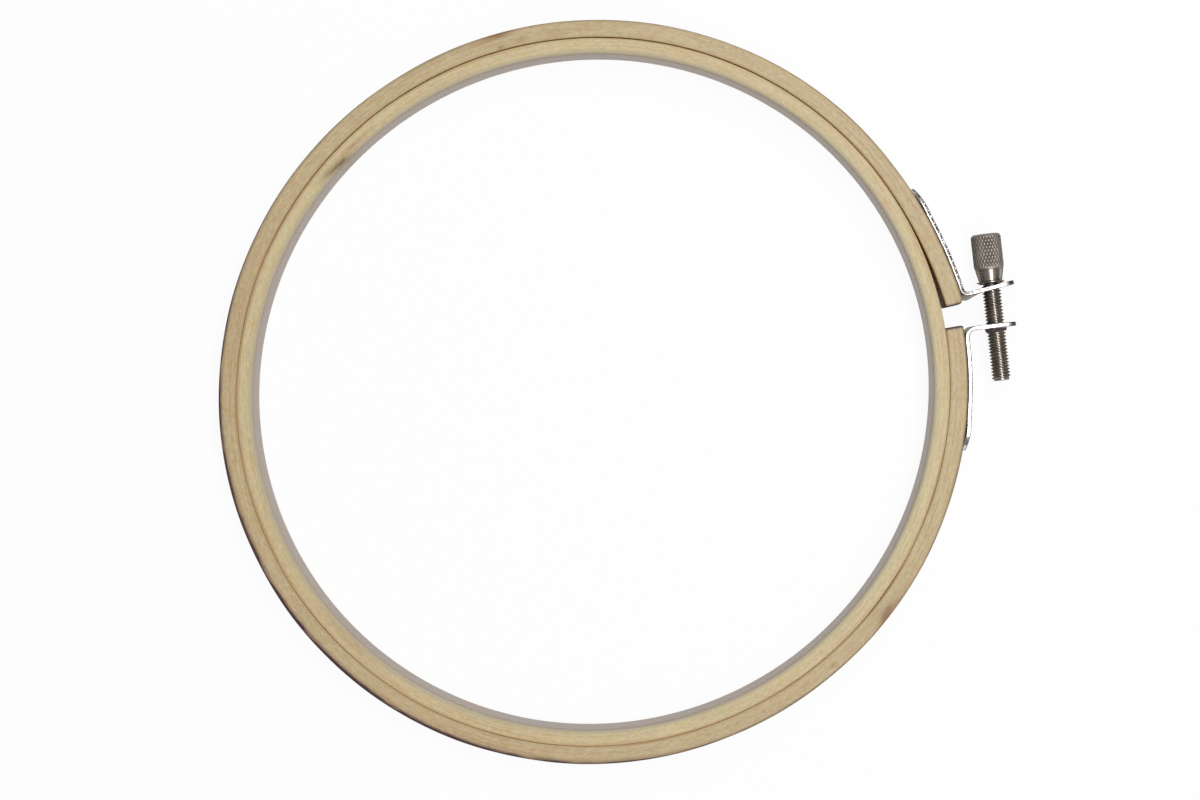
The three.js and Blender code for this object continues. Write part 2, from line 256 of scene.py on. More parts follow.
def make_piece(
    name: str, surfaces: Sequence[Surface], centre: Array, crease: float = 35.0
) -> bpy.types.Object:
    """One object made of one or more grids.

    Args:
        name: Name of the piece.
        surfaces: Its grids, in millimetres from the hoop's centre.
        centre: The hoop's centre in the row frame, in millimetres.
        crease: Angle in degrees past which an edge stays sharp.

    Returns:
        The object, with its place in its mesh.
    """
    points, faces, grain, marks = [], [], [], []
    first = 0
    for surface in surfaces:
        rows, columns = surface.points.shape[:2]
        points.append(surface.points.reshape(-1, 3))
        faces.extend((surface.quads() + first).tolist())
        for row in surface.lid_rows():
            faces.append(list(range(first + row * columns, first + (row + 1) * columns)))
        grain.append(surface.corner_grain())
        blank = np.zeros_like(surface.points)
        marks.append((blank if surface.marks is None else surface.marks).reshape(-1, 3))
        first += rows * columns
    placed = (np.concatenate(points) + centre) * MM
    mesh = bpy.data.meshes.new(name)
    mesh.from_pydata(placed.tolist(), [], faces)
    corner = mesh.attributes.new("grain", "FLOAT_VECTOR", "CORNER")
    corner.data.foreach_set("vector", np.concatenate(grain).astype(np.float32).ravel())
    spot = mesh.attributes.new("marks", "FLOAT_VECTOR", "POINT")
    spot.data.foreach_set("vector", np.concatenate(marks).astype(np.float32).ravel())
    weld(mesh, crease)
    return new_object(name, mesh)


def combine(piece: bpy.types.Object, solids: Sequence[bpy.types.Object], how: Merge) -> None:
    """Joins other solids to a piece or takes them out of it, and removes them.

    Args:
        piece: The piece that stays.
        solids: The other solids.
        how: Whether they are joined to it or taken out.
    """
    for solid in solids:
        modifier = piece.modifiers.new(solid.name, "BOOLEAN")
        modifier.operation = how.value
        modifier.solver = "EXACT"
        modifier.object = solid
    settle(piece)
    for solid in solids:
        worn = solid.data
        bpy.data.objects.remove(solid)
        bpy.data.meshes.remove(worn)


@dataclass(frozen=True)
class Spindle:
    """An axis in space that turned shapes stand on, with its zero point."""

    foot: Array
    along: Array

    def place(self, points: Array) -> Array:
        """Carries points from the turned shape's own frame, with Z along the axis.

        Args:
            points: Points as (across, up, along).

        Returns:
            The same points in the hoop's frame.
        """
        up = np.array([0.0, 0.0, 1.0])
        across = np.cross(up, self.along)
        return self.foot + points @ np.stack([across, up, self.along])

    def rings(self, radius: Array, turn: Array, height: Array) -> Array:
        """A grid of points in the hoop's frame, by radius, turn in radians and height."""
        radius, turn, height = np.broadcast_arrays(radius, turn, height)
        return self.place(np.stack([radius * np.cos(turn), radius * np.sin(turn), height], axis=-1))

    def turned(self, profile: Sequence[Sequence[float]] | Array, sides: int) -> Surface:
        """Surface of revolution: each row is a circle of a profile point's radius at its height.

        Args:
            profile: Rows of (radius, height), from the axis back to the axis.
            sides: Number of columns round the axis.

        Returns:
            The closed surface.
        """
        turn = np.linspace(0.0, 2 * np.pi, sides, endpoint=False)[None, :]
        profile = np.array(profile)
        return Surface(self.rings(profile[:, :1], turn, profile[:, 1:]), lids=False)


# Finishes


def linear(code: str) -> tuple[float, ...]:
    """Turns a colour code into light by the curve of the sRGB standard.

    Args:
        code: An sRGB hex code with its number sign.

    Returns:
        Linear red, green, blue and alpha.
    """
    shares = np.array([int(code[first : first + 2], 16) / 255 for first in (1, 3, 5)])
    curved = ((shares + 0.055) / 1.055) ** 2.4
    return (*np.where(shares <= 0.04045, shares / 12.92, curved).tolist(), 1.0)


def add(
    tree: bpy.types.NodeTree, kind: str, sockets: dict | None = None, **settings: Any
) -> bpy.types.Node:
    """Adds one node with its settings and its inputs.

    Args:
        tree: The node tree.
        kind: Blender's name for the node's type.
        sockets: Input names or numbers, each with a value or with the output that feeds it.
        settings: The node's own settings.

    Returns:
        The node.
    """
    node = tree.nodes.new(kind)
    for name, value in settings.items():
        setattr(node, name, value)
    for name, value in (sockets or {}).items():
        if isinstance(value, bpy.types.NodeSocket):
            tree.links.new(value, node.inputs[name])
        else:
            node.inputs[name].default_value = value
    return node


def new_material(name: str) -> tuple[bpy.types.Material, bpy.types.NodeTree]:
    """A material with an empty node tree.

    Args:
        name: Its name.

    Returns:
        The material and its tree.
    """
    material = bpy.data.materials.new(name)
    material.use_nodes = True
    material.node_tree.nodes.clear()
    return material, material.node_tree


# Socket numbers of a Mix node that mixes colours
MIX_SHARE, MIX_FROM, MIX_TO, MIX_OUT = 0, 6, 7, 2


@dataclass(frozen=True)
class Streaks:
    """Noise drawn out along a strip, with the length and width of one feature of it."""

    length: float
    width: float
    detail: float

    def value(self, tree: bpy.types.NodeTree, grain: bpy.types.NodeSocket) -> bpy.types.NodeSocket:
        """Adds the noise.

        Args:
            tree: The node tree.
            grain: Output with the grain coordinates in metres.

        Returns:
            The output with the noise's value.
        """
        scale = (1 / (self.length * MM), 1 / (self.width * MM), 1 / (self.width * MM))
        vector = add(tree, "ShaderNodeVectorMath", {0: grain, 1: scale}, operation="MULTIPLY")
        sockets = {"Vector": vector.outputs[0], "Scale": 1.0, "Detail": self.detail, "Roughness": 0.55}
        return add(tree, "ShaderNodeTexNoise", sockets).outputs[0]


@dataclass(frozen=True)
class VarnishedBamboo:
    """Split bamboo strip, sawn, steamed round, sanded and wiped with a thin clear varnish.

    It gives the eye a pale straw colour with fine brown fibre lines along the strip,
    golden and rosy mottling, a denser band on the rind side, painted shade on the inside
    face and on the round of its edge, and a soft satin gloss.
    """

    name: str
    straw: str
    fibre: str
    warm: str
    green: str
    pale: str
    rind: str
    lip_painted_shade: str
    pith_painted_shade: str
    stain_and_shade: str
    gold: str
    rose: str
    rust: str
    wall: float
    lip_shade_reach: tuple[float, float]
    pith_shade_reach: tuple[float, float]
    fibre_streaks: Streaks = Streaks(24.0, 0.42, 3.0)
    cloud_streaks: Streaks = Streaks(6.0, 1.0, 2.0)
    fleck_streaks: Streaks = Streaks(3.6, 0.16, 1.0)
    drift_streaks: Streaks = Streaks(70.0, 6.0, 1.0)
    grit_streaks: Streaks = Streaks(1.1, 0.38, 1.0)
    mottle_streaks: Streaks = Streaks(2.3, 1.0, 2.0)
    rind_depth: float = 0.7
    rind_share: float = 0.75
    lip_shade_share: float = 0.5
    pith_shade_share: float = 0.8
    pith_roughness: float = 0.5
    band_ragged: float = 1.4
    mark_breaks: tuple[float, float] = (0.3, 0.62)
    mark_least: float = 0.35
    gloss_spread: tuple[float, float] = (0.48, 0.68)
    fibre_relief: float = 0.035
    relief_strength: float = 0.5
    varnish_ior: float = 1.48
    varnish_weight: float = 0.12
    varnish_roughness: float = 0.35

    def material(self) -> bpy.types.Material:
        """The finish as nodes on the strip's grain coordinates and marks.

        Returns:
            The material.
        """
        material, tree = new_material(self.name)
        grain = add(tree, "ShaderNodeAttribute", attribute_name="grain").outputs["Vector"]
        marks = add(tree, "ShaderNodeAttribute", attribute_name="marks").outputs["Vector"]
        marks = add(tree, "ShaderNodeSeparateXYZ", {0: marks}).outputs
        depth = add(tree, "ShaderNodeSeparateXYZ", {0: grain}).outputs["Y"]
        fibre = self.fibre_streaks.value(tree, grain)
        cloud = self.cloud_streaks.value(tree, grain)
        fleck = self.fleck_streaks.value(tree, grain)
        drift = self.drift_streaks.value(tree, grain)
        grit = self.grit_streaks.value(tree, grain)
        mottle = self.mottle_streaks.value(tree, grain)
        sockets = {0: fibre, 1: self.band_ragged * MM, 2: depth}
        ragged = add(tree, "ShaderNodeMath", sockets, operation="MULTIPLY_ADD").outputs[0]
        rind_start = self.wall - self.rind_depth + self.band_ragged / 2

        # A layer's rows: what drives it, where it starts and is full, its most and its colour
        colour: Any = linear(self.straw)
        for value, low, high, most, code in (
            (drift, 0.4, 0.75, 0.42, self.warm),
            (cloud, 0.52, 0.8, 0.6, self.green),
            (cloud, 0.5, 0.22, 0.7, self.warm),
            (mottle, 0.52, 0.74, 0.7, self.gold),
            (mottle, 0.47, 0.27, 0.6, self.rose),
            (fibre, 0.46, 0.78, 0.42, self.fibre),
            (fleck, 0.64, 0.8, 0.55, self.fibre),
            (grit, 0.55, 0.75, 0.45, self.pale),
            (grit, 0.44, 0.26, 0.35, self.fibre),
            (ragged, rind_start * MM, (rind_start + self.rind_depth) * MM, self.rind_share, self.rind),
            # The lip and pith layers are painted shade on the round of the inside edge and on the inside
            # face
            (ragged, self.lip_shade_reach[0] * MM, self.lip_shade_reach[1] * MM, self.lip_shade_share, self.lip_painted_shade),
            (ragged, self.pith_shade_reach[0] * MM, self.pith_shade_reach[1] * MM, self.pith_shade_share, self.pith_painted_shade),
        ):
            sockets = {"Value": value, "From Min": low, "From Max": high, "To Max": most}
            share = add(tree, "ShaderNodeMapRange", sockets).outputs[0]
            mixed = {MIX_SHARE: share, MIX_FROM: colour, MIX_TO: linear(code)}
            colour = add(tree, "ShaderNodeMix", mixed, data_type="RGBA").outputs[MIX_OUT]
        # Share of the painted shade on the inside face, which is also made rougher
        on_pith_shade = share

        low, high = self.mark_breaks
        sockets = {"Value": cloud, "From Min": low, "From Max": high, "To Min": self.mark_least}
        broken = add(tree, "ShaderNodeMapRange", sockets).outputs[0]
        for tone, code in ((Tone.STAIN_AND_SHADE, self.stain_and_shade), (Tone.RUST, self.rust), (Tone.GREEN, self.green)):
            sockets = {0: marks[tone.value], 1: broken}
            share = add(tree, "ShaderNodeMath", sockets, operation="MULTIPLY", use_clamp=True).outputs[0]
            mixed = {MIX_SHARE: share, MIX_FROM: colour, MIX_TO: linear(code)}
            colour = add(tree, "ShaderNodeMix", mixed, data_type="RGBA").outputs[MIX_OUT]

        low, high = self.gloss_spread
        gloss = add(tree, "ShaderNodeMapRange", {"Value": fibre, "To Min": low, "To Max": high}).outputs[0]
        gloss = add(tree, "ShaderNodeMix", {0: on_pith_shade, 2: gloss, 3: self.pith_roughness}).outputs[0]
        distance = self.fibre_relief * MM
        sockets = {"Height": fibre, "Strength": self.relief_strength, "Distance": distance}
        relief = add(tree, "ShaderNodeBump", sockets).outputs[0]
        sockets = {
            "Base Color": colour,
            "Roughness": gloss,
            "IOR": self.varnish_ior,
            "Coat Weight": self.varnish_weight,
            "Coat Roughness": self.varnish_roughness,
            "Normal": relief,
        }
        shader = add(tree, "ShaderNodeBsdfPrincipled", sockets).outputs[0]
        add(tree, "ShaderNodeOutputMaterial", {"Surface": shader})
        return material


@dataclass(frozen=True)
class NickelledSteel:
    """Mild steel with an electroplated nickel skin, pressed or turned before plating.

    It gives the eye a slightly warm grey metal, with fine tumbling or tool marks that
    soften its reflections, and a faint cloudiness in the plating. The marks attribute adds
    painted shade (X), painted shade broken up by the tool marks (Y) and a matt surface (Z);
    on the screw, X is painted shade and grime in the bottoms of the grooves.
    """

    name: str
    bright: str
    dull: str
    shade_and_grime: str
    roughness: float
    mark_size: float
    mark_relief: float
    cloud_size: float = 3.5
    cloud_breaks: tuple[float, float] = (0.35, 0.7)
    shade_breaks: tuple[float, float] = (0.4, 0.55)
    shade_least: float = 0.3
    gloss_breaks: tuple[float, float] = (0.3, 0.7)
    gloss_spread: tuple[float, float] = (0.8, 1.25)
    relief_strength: float = 0.4
    matt: float = 0.22
    shade_and_grime_roughness: float = 0.65
    edge_tint: str = "#b8b2ab"

    def material(self) -> bpy.types.Material:
        """The finish as nodes on object coordinates and marks.

        Returns:
            The material.
        """
        material, tree = new_material(self.name)
        place = add(tree, "ShaderNodeTexCoord").outputs["Object"]
        sockets = {"Vector": place, "Scale": 1 / (self.cloud_size * MM), "Detail": 3.0}
        cloud = add(tree, "ShaderNodeTexNoise", sockets).outputs[0]
        sockets = {"Vector": place, "Scale": 1 / (self.mark_size * MM), "Detail": 2.0}
        tool = add(tree, "ShaderNodeTexNoise", sockets).outputs[0]
        marks = add(tree, "ShaderNodeAttribute", attribute_name="marks").outputs["Vector"]
        marks = add(tree, "ShaderNodeSeparateXYZ", {0: marks}).outputs

        low, high = self.cloud_breaks
        sockets = {"Value": cloud, "From Min": low, "From Max": high}
        shade = add(tree, "ShaderNodeMapRange", sockets).outputs[0]
        mixed = {MIX_SHARE: shade, MIX_FROM: linear(self.bright), MIX_TO: linear(self.dull)}
        colour = add(tree, "ShaderNodeMix", mixed, data_type="RGBA").outputs[MIX_OUT]
        # Painted shade from the marks, with Y broken up by the tool marks
        low, high = self.shade_breaks
        sockets = {"Value": tool, "From Min": low, "From Max": high, "To Min": self.shade_least}
        ragged = add(tree, "ShaderNodeMapRange", sockets).outputs[0]
        sockets = {0: marks["Y"], 1: ragged, 2: marks["X"]}
        painted_shade = add(tree, "ShaderNodeMath", sockets, operation="MULTIPLY_ADD", use_clamp=True).outputs[0]
        mixed = {MIX_SHARE: painted_shade, MIX_FROM: colour, MIX_TO: linear(self.shade_and_grime)}
        colour = add(tree, "ShaderNodeMix", mixed, data_type="RGBA").outputs[MIX_OUT]
        # The painted shade isn't metal, so it stays dark where the plating round it mirrors a lamp
        plating = add(tree, "ShaderNodeMath", {0: 1.0, 1: painted_shade}, operation="SUBTRACT").outputs[0]

        low, high = self.gloss_breaks
        fine, coarse = (self.roughness * share for share in self.gloss_spread)
        sockets = {"Value": tool, "From Min": low, "From Max": high, "To Min": fine, "To Max": coarse}
        gloss = add(tree, "ShaderNodeMapRange", sockets).outputs[0]
        sockets = {0: marks["Z"], 1: self.matt, 2: gloss}
        gloss = add(tree, "ShaderNodeMath", sockets, operation="MULTIPLY_ADD").outputs[0]
        gloss = add(tree, "ShaderNodeMix", {0: painted_shade, 2: gloss, 3: self.shade_and_grime_roughness}).outputs[0]
        distance = self.mark_relief * MM
        sockets = {"Height": tool, "Strength": self.relief_strength, "Distance": distance}
        relief = add(tree, "ShaderNodeBump", sockets).outputs[0]
        sockets = {
            "Base Color": colour,
            "Metallic": plating,
            "Specular Tint": linear(self.edge_tint),
            "Roughness": gloss,
            "Normal": relief,
        }
        shader = add(tree, "ShaderNodeBsdfPrincipled", sockets).outputs[0]
        add(tree, "ShaderNodeOutputMaterial", {"Surface": shader})
        return material


# The inner ring's lip and pith colours are painted shade on the inside edge and the inside face
INNER_BAMBOO = VarnishedBamboo(
    name="varnished_bamboo_inner",
    straw="#d1c298",
    fibre="#a58f68",
    warm="#cba67c",
    green="#b8b284",
    pale="#ded1a8",
    rind="#b3935f",
    lip_painted_shade="#a9a488",
    pith_painted_shade="#ae9c93",
    stain_and_shade="#6c5738",
    gold="#cdb072",
    rose="#c8ab90",
    rust="#ab8763",
    wall=3.52,
    lip_shade_reach=(1.85, 1.4),
    pith_shade_reach=(1.2, 0.85),
    lip_shade_share=0.65,
)
# The outer ring's lip and pith colours are painted shade along the gap to the inner ring and in the wedge
# at the split
OUTER_BAMBOO = VarnishedBamboo(
    name="varnished_bamboo_outer",
    straw="#c6b48c",
    fibre="#967f5a",
    warm="#c09a6c",
    green="#b3a77a",
    pale="#d6c6a0",
    rind="#a28a68",
    lip_painted_shade="#b39a72",
    pith_painted_shade="#b08c66",
    stain_and_shade="#47272a",
    # This stain colour also paints the shade on the rounded outer edge
    gold="#bf9f66",
    rose="#bb9781",
    rust="#926c49",
    wall=3.84,
    lip_shade_reach=(1.3, 1.0),
    pith_shade_reach=(1.08, 0.74),
    lip_shade_share=0.3,
    pith_shade_share=0.9,
    pith_roughness=0.95,
)
# On the straps the grime colour is painted shade and dark reflection
BRIGHT_NICKEL = NickelledSteel(
    name="bright_nickelled_steel",
    bright="#e2e0dd",
    dull="#d2cfcc",
    shade_and_grime="#4b4142",
    roughness=0.24,
    mark_size=0.35,
    mark_relief=0.004,
)
# On the screw the grime colour is painted shade and grime in the knurl's grooves and the thread's roots
DULL_NICKEL = NickelledSteel(
    name="dull_nickelled_steel",
    bright="#b9b0a6",
    dull="#a1988e",
    shade_and_grime="#352d29",
    roughness=0.26,
    mark_size=0.3,
    mark_relief=0.003,
    edge_tint="#4c4641",
)


def dress(
    piece: bpy.types.Object, finish: bpy.types.Material, nodes: Sequence[str]
) -> None:
    """Gives a piece its finish and says which CAD nodes it stands for.

    Args:
        piece: The piece.
        finish: Its material.
        nodes: Names of the CAD nodes that it replaces.
    """
    piece.data.materials.clear()
    piece.data.materials.append(finish)
    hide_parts(*nodes)
    count = len(piece.data.loops) - 2 * len(piece.data.polygons)
    LOG.info("%s: %d triangles, in place of %s", piece.name, count, ", ".join(nodes))


# The hoop in plan


@dataclass(frozen=True)
class HoopPlan:
    """Shape of both rings seen from above, which every other piece is placed by.

    Both rings are slightly oval: the radius swells and shrinks twice in a turn, most at
    the oval's angle.
    """

    centre: Array
    inner_diameter: float = 151.0
    inner_wall: float = 3.4
    outer_wall: float = 3.7
    height: float = 10.0
    nest_gap: float = 0.3
    oval_swell: float = 0.6
    oval_angle: float = 31.0
    split_angle: float = 11.9
    split_gap: float = 4.3
    end_lift: float = 1.1
    lift_span: float = 22.5

    @classmethod
    def from_frame(cls) -> "HoopPlan":
        """The plan centred where the frame's inner ring is.

        Returns:
            The plan.
        """
        low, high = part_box("inner_ring")
        middle = (np.array(low) + np.array(high)) / 2 / MM
        return cls(centre=middle * [1.0, 1.0, 0.0])

    @property
    def arm_middle(self) -> float:
        """Mean radius of the outer ring's strip."""
        return self.inner_diameter / 2 + self.nest_gap + self.outer_wall / 2

    def end_angle(self, side: Side) -> float:
        """Angle at which an end of the outer ring stops beside the split."""
        return self.split_angle - side.value * np.degrees(self.split_gap / 2 / self.arm_middle)

    def inner_outside(self, angle: Array) -> Array:
        """Outside radius of the inner ring."""
        swell = self.oval_swell * np.cos(2 * np.radians(angle - self.oval_angle))
        return self.inner_diameter / 2 + swell

    def outer_inside(self, angle: Array) -> Array:
        """Inside radius of the outer ring.

        Its upper end leaves the inner ring along a parabola. Angles run from the upper
        end, so the lower end's are past a full turn and get no lift.

        Args:
            angle: Angles round the hoop.

        Returns:
            The radius at each angle.
        """
        reach = self.end_angle(Side.UPPER) + self.lift_span
        share = np.clip((reach - angle) / self.lift_span, 0.0, 1.0)
        return self.inner_outside(angle) + self.nest_gap + self.end_lift * share**2


# Bamboo rings


@dataclass(frozen=True)
class Mark:
    """A soft-edged mark in the bamboo, such as a node or a knot, or painted shade along an edge.

    Its weight falls off as a bell curve along the strip, across the wall, and down the
    wall from the nearer flat face.
    """

    angle: float
    length: float
    depth: float
    width: float
    weight: float
    tone: Tone = Tone.STAIN_AND_SHADE
    slant: float = 0.0
    reach: float = 30.0

    def spread(self, angle: Array, depth: Array, below: Array, radius: float) -> Array:
        """Weight of the mark at places on the strip.

        Args:
            angle: Angles round the hoop.
            depth: Distances from the strip's inside face.
            below: Distances from the nearer flat face.
            radius: Mean radius of the strip.

        Returns:
            The weight, from 0 to the mark's own.
        """
        apart = (angle - self.angle + 180.0) % 360.0 - 180.0
        along = np.radians(apart) * radius - self.slant * (depth - self.depth)
        bell = (along / self.length) ** 2 + ((depth - self.depth) / self.width) ** 2
        return self.weight * np.exp(-bell - (below / self.reach) ** 2)


@dataclass
class Strip:
    """A bamboo strip bent round the hoop, with a rounded rectangle as its section."""

    plan: HoopPlan
    wall: float
    inside_edge: float
    outside_edge: float
    marks: tuple[Mark, ...]
    edge_steps: int = 5
    wall_steps: int = 6
    height_steps: int = 10
    uneven: float = 0.05
    uneven_periods: tuple[float, ...] = (61.0, 37.0, 23.0)

    def section(self) -> Array:
        """Outline of the strip's section, counter-clockwise from low on its inside face.

        Returns:
            Rows of (depth from the inside face, height).
        """
        inside = quarter_round(self.inside_edge, self.edge_steps)
        outside = quarter_round(self.outside_edge, self.edge_steps)
        wall, height = self.wall, self.plan.height
        corners = [
            np.stack([inside[:, 0], inside[:, 1]], axis=-1),
            np.stack([wall - outside[:, 1], outside[:, 0]], axis=-1),
            np.stack([wall - outside[:, 0], height - outside[:, 1]], axis=-1),
            np.stack([inside[:, 1], height - inside[:, 0]], axis=-1),
        ]
        steps = (self.wall_steps, self.height_steps, self.wall_steps, self.height_steps)
        parts = []
        for turn, count in enumerate(steps):
            start, end = corners[turn][-1], corners[(turn + 1) % 4][0]
            share = np.linspace(0.0, 1.0, count + 1)[1:-1, None]
            parts += [corners[turn], start + (end - start) * share]
        return np.concatenate(parts)

    def surface(self, angle: Array, inside: Array, taken: Array, inset: Array, joins: bool) -> Surface:
        """The section carried round the hoop.

        A point's radius is the inside radius at its angle plus its depth in the wall, and
        its height is the section's.

        Args:
            angle: Angle of each station.
            inside: Inside radius there.
            taken: How much of the wall is missing outside there.
            inset: How far the whole section draws in there.
            joins: Whether the last station meets the first.

        Returns:
            The strip's surface with its grain coordinates and marks.
        """
        section = self.section()
        angle, inside, taken, inset = (part[:, None] for part in (angle, inside, taken, inset))
        half_wall, half_height = self.wall / 2, self.plan.height / 2
        depth = half_wall + (section[:, 0] - half_wall) * (1 - inset / half_wall)
        depth = depth * (1 - taken / self.wall)
        height = half_height + (section[:, 1] - half_height) * (1 - inset / half_height)
        along = np.radians(angle) * self.plan.arm_middle
        outward = np.clip(section[:, 0] / self.wall, 0.0, 1.0)
        radius = inside + depth + outward * ripple(along, self.uneven_periods, self.uneven)
        body = slice(0, -1) if joins else slice(None)
        points = heading(angle + 0 * depth) * radius[..., None] + np.stack(
            [0 * height, 0 * height, height], axis=-1
        )
        grain = np.stack([along + 0 * depth, depth, height], axis=-1)
        weights = np.zeros_like(points)
        below = half_height - np.abs(height - half_height)
        for mark in self.marks:
            weights[..., mark.tone.value] += mark.spread(angle, depth, below, self.plan.arm_middle)
        return Surface(points[body], rows_join=joins, grain=grain, marks=weights[body])


@dataclass
class InnerRing(Strip):
    """The plain ring that the cloth goes over: one strip glued end to end in a scarf."""

    wall: float = INNER_BAMBOO.wall
    inside_edge: float = 0.65
    outside_edge: float = 0.12
    uneven: float = 0.02
    scarf_angle: float = 228.0
    stations: int = 720
    marks: tuple[Mark, ...] = (
        Mark(138.5, 3.0, 1.1, 0.85, 1.5, slant=2.4),
        Mark(134.6, 3.0, 1.55, 0.55, 1.0, Tone.RUST, slant=2.6),
        Mark(131.0, 3.5, 1.9, 0.4, 0.5, Tone.RUST, slant=2.6),
        Mark(226.0, 9.0, 1.6, 1.0, 0.4, Tone.RUST),
        Mark(292.0, 2.6, 1.6, 0.9, 0.5, Tone.GREEN),
        Mark(scarf_angle, 0.35, 1.7, 2.4, 0.35, slant=2.2),
    )

    def build(self) -> None:
        """Makes and dresses the ring."""
        angle = self.scarf_angle + np.linspace(0.0, 360.0, self.stations + 1)
        none = np.zeros_like(angle)
        inside = self.plan.inner_outside(angle) - self.plan.inner_wall
        surface = self.surface(angle, inside, none, none, joins=True)
        piece = make_piece("inner_ring_strip", [surface], self.plan.centre)
        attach(piece, Body.INNER_RING.value)
        dress(piece, INNER_BAMBOO.material(), ["inner_ring"])


@dataclass
class OuterRing(Strip):
    """The split ring: one springy strip, which bends opposite the screw as it opens."""

    wall: float = OUTER_BAMBOO.wall
    inside_edge: float = 0.14
    outside_edge: float = 0.5
    lower_corner: float = 0.5
    upper_corner: float = 1.3
    end_edge: float = 0.25
    end_stain: float = 2.4
    end_soak: float = 0.4
    end_reach: float = 1.4
    end_stations: int = 14
    end_crowding: float = 1.8
    station_gap: float = 0.68
    bend_half: float = 1.8
    slack_angle: float = 325.5
    slack_length: float = 7.5
    slack_depth: float = 0.1
    marks: tuple[Mark, ...] = (
        Mark(104.6, 3.8, 3.3, 0.55, 1.1, Tone.RUST, slant=-1.5),
        Mark(104.2, 2.4, 3.5, 0.3, 0.5, slant=-1.5),
        Mark(107.5, 4.0, 2.6, 0.35, 0.75, Tone.RUST, slant=-3.0),
        Mark(104.9, 0.7, 0.65, 0.4, 1.2, Tone.RUST, slant=0.6),
        Mark(104.8, 0.4, 0.6, 0.25, 0.8, slant=0.6),
        Mark(101.6, 0.9, 1.2, 0.4, 0.9, Tone.RUST),
        Mark(105.5, 3.5, 1.1, 0.5, 0.7, Tone.GREEN),
        Mark(322.9, 1.3, 2.75, 0.7, 0.35, slant=-1.2),
        Mark(322.9, 2.2, 2.75, 0.8, 1.3, Tone.RUST, slant=-1.2),
        Mark(325.0, 7.5, 3.2, 0.8, 0.6, Tone.RUST, slant=-1.0),
        Mark(322.0, 7.0, 1.3, 0.9, 0.7, Tone.GREEN),
        Mark(322.4, 1.6, 1.2, 0.8, 0.28),
        Mark(311.5, 0.9, 2.3, 0.3, 0.45),
        Mark(306.0, 0.7, 1.7, 0.25, 0.4),
        Mark(14.0, 1.2, 3.6, 0.9, 0.35),
        # Painted shade on the round of the outer edge: heavy on the lower left, away from the lamp, and a
        # thin line all round
        Mark(225.0, 66.0, 4.0, 0.8, 3.0, reach=1.2),
        Mark(22.0, 9.0, 3.95, 0.35, 1.0, reach=1.2),
        Mark(0.0, 12.0, 3.95, 0.3, 0.6, reach=1.2),
        Mark(0.0, 9000.0, 3.9, 0.3, 0.75, reach=0.9),
        Mark(86.0, 9.0, 3.0, 0.8, 0.2, Tone.RUST),
        Mark(200.0, 12.0, 3.1, 0.7, 0.2, Tone.RUST),
    )

    def room(self, angle: Array, pivot: Array, turn: float) -> Array:
        """How far the upper arm moves in when its hinge is at the closed limit.

        A place on the arm moves by the turn times its distance from the pivot, square to
        that distance, and the part of that movement that points to the centre is taken.

        Args:
            angle: Angle of each station.
            pivot: The hinge's place from the hoop's centre.
            turn: The hinge's closed limit in radians, which is negative.

        Returns:
            The movement towards the centre, and nothing on the lower arm.
        """
        outward = heading(angle)
        lever = outward * self.plan.arm_middle - pivot
        inward = -turn * (lever[:, 0] * outward[:, 1] - lever[:, 1] * outward[:, 0])
        hinge_angle = np.degrees(np.arctan2(pivot[1], pivot[0]))
        return np.where(angle < hinge_angle, inward, 0.0)

    def slack(self, angle: Array) -> Array:
        """Where the rings part a little, as a bell curve along the strip."""
        along = np.radians(angle - self.slack_angle) * self.plan.arm_middle
        return self.slack_depth * np.exp(-((along / self.slack_length) ** 2))

    def stations(self) -> tuple[Array, Array, Array, Array]:
        """Stations from the upper end round to the lower end.

        Near an end they crowd together, and the outer corner takes some of the wall.

        Returns:
            Angles, how much of the wall is missing outside, how far the section draws in,
            and the distance from the nearer end.
        """
        start = self.plan.end_angle(Side.UPPER)
        end = self.plan.end_angle(Side.LOWER) + 360.0
        length = np.radians(end - start) * self.plan.arm_middle
        crowded = np.linspace(0.0, 1.0, self.end_stations) ** self.end_crowding
        near = self.end_reach * crowded
        count = round(length / self.station_gap)
        middle = np.linspace(self.end_reach, length - self.end_reach, count)[1:-1]
        from_start = np.concatenate([near, middle, length - near[::-1]])
        from_end = length - from_start
        taken = ease_in(from_start, self.upper_corner) + ease_in(from_end, self.lower_corner)
        inset = ease_in(from_start, self.end_edge) + ease_in(from_end, self.end_edge)
        angle = start + np.degrees(from_start / self.plan.arm_middle)
        return angle, taken, inset, np.minimum(from_start, from_end)

    def build(self) -> None:
        """Makes and dresses the ring, leaving room where the upper arm moves in about the flexing place.
        """
        angle, taken, inset, from_end = self.stations()
        hinge = frame_joint("ring_flex")
        pivot = np.array(hinge["pos_m"])
        closed = np.radians(hinge["range_deg"][0])
        room = self.room(angle, pivot / MM - self.plan.centre, closed) + self.slack(angle)
        inside = self.plan.outer_inside(angle) - (self.wall - self.plan.outer_wall) + room
        surface = self.surface(angle, inside, taken + room, inset, joins=False)
        # The cut ends show end grain, which has soaked up the varnish and gone brown
        surface.marks[..., 0] += self.end_stain * np.exp(-((from_end / self.end_soak) ** 2))[:, None]
        piece = make_piece("outer_ring_strip", [surface], self.plan.centre)
        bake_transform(piece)
        nodes = ["outer_ring_lower_arm", "outer_ring_upper_arm"]
        dress(piece, OUTER_BAMBOO.material(), nodes)


# Steel straps and their tacks


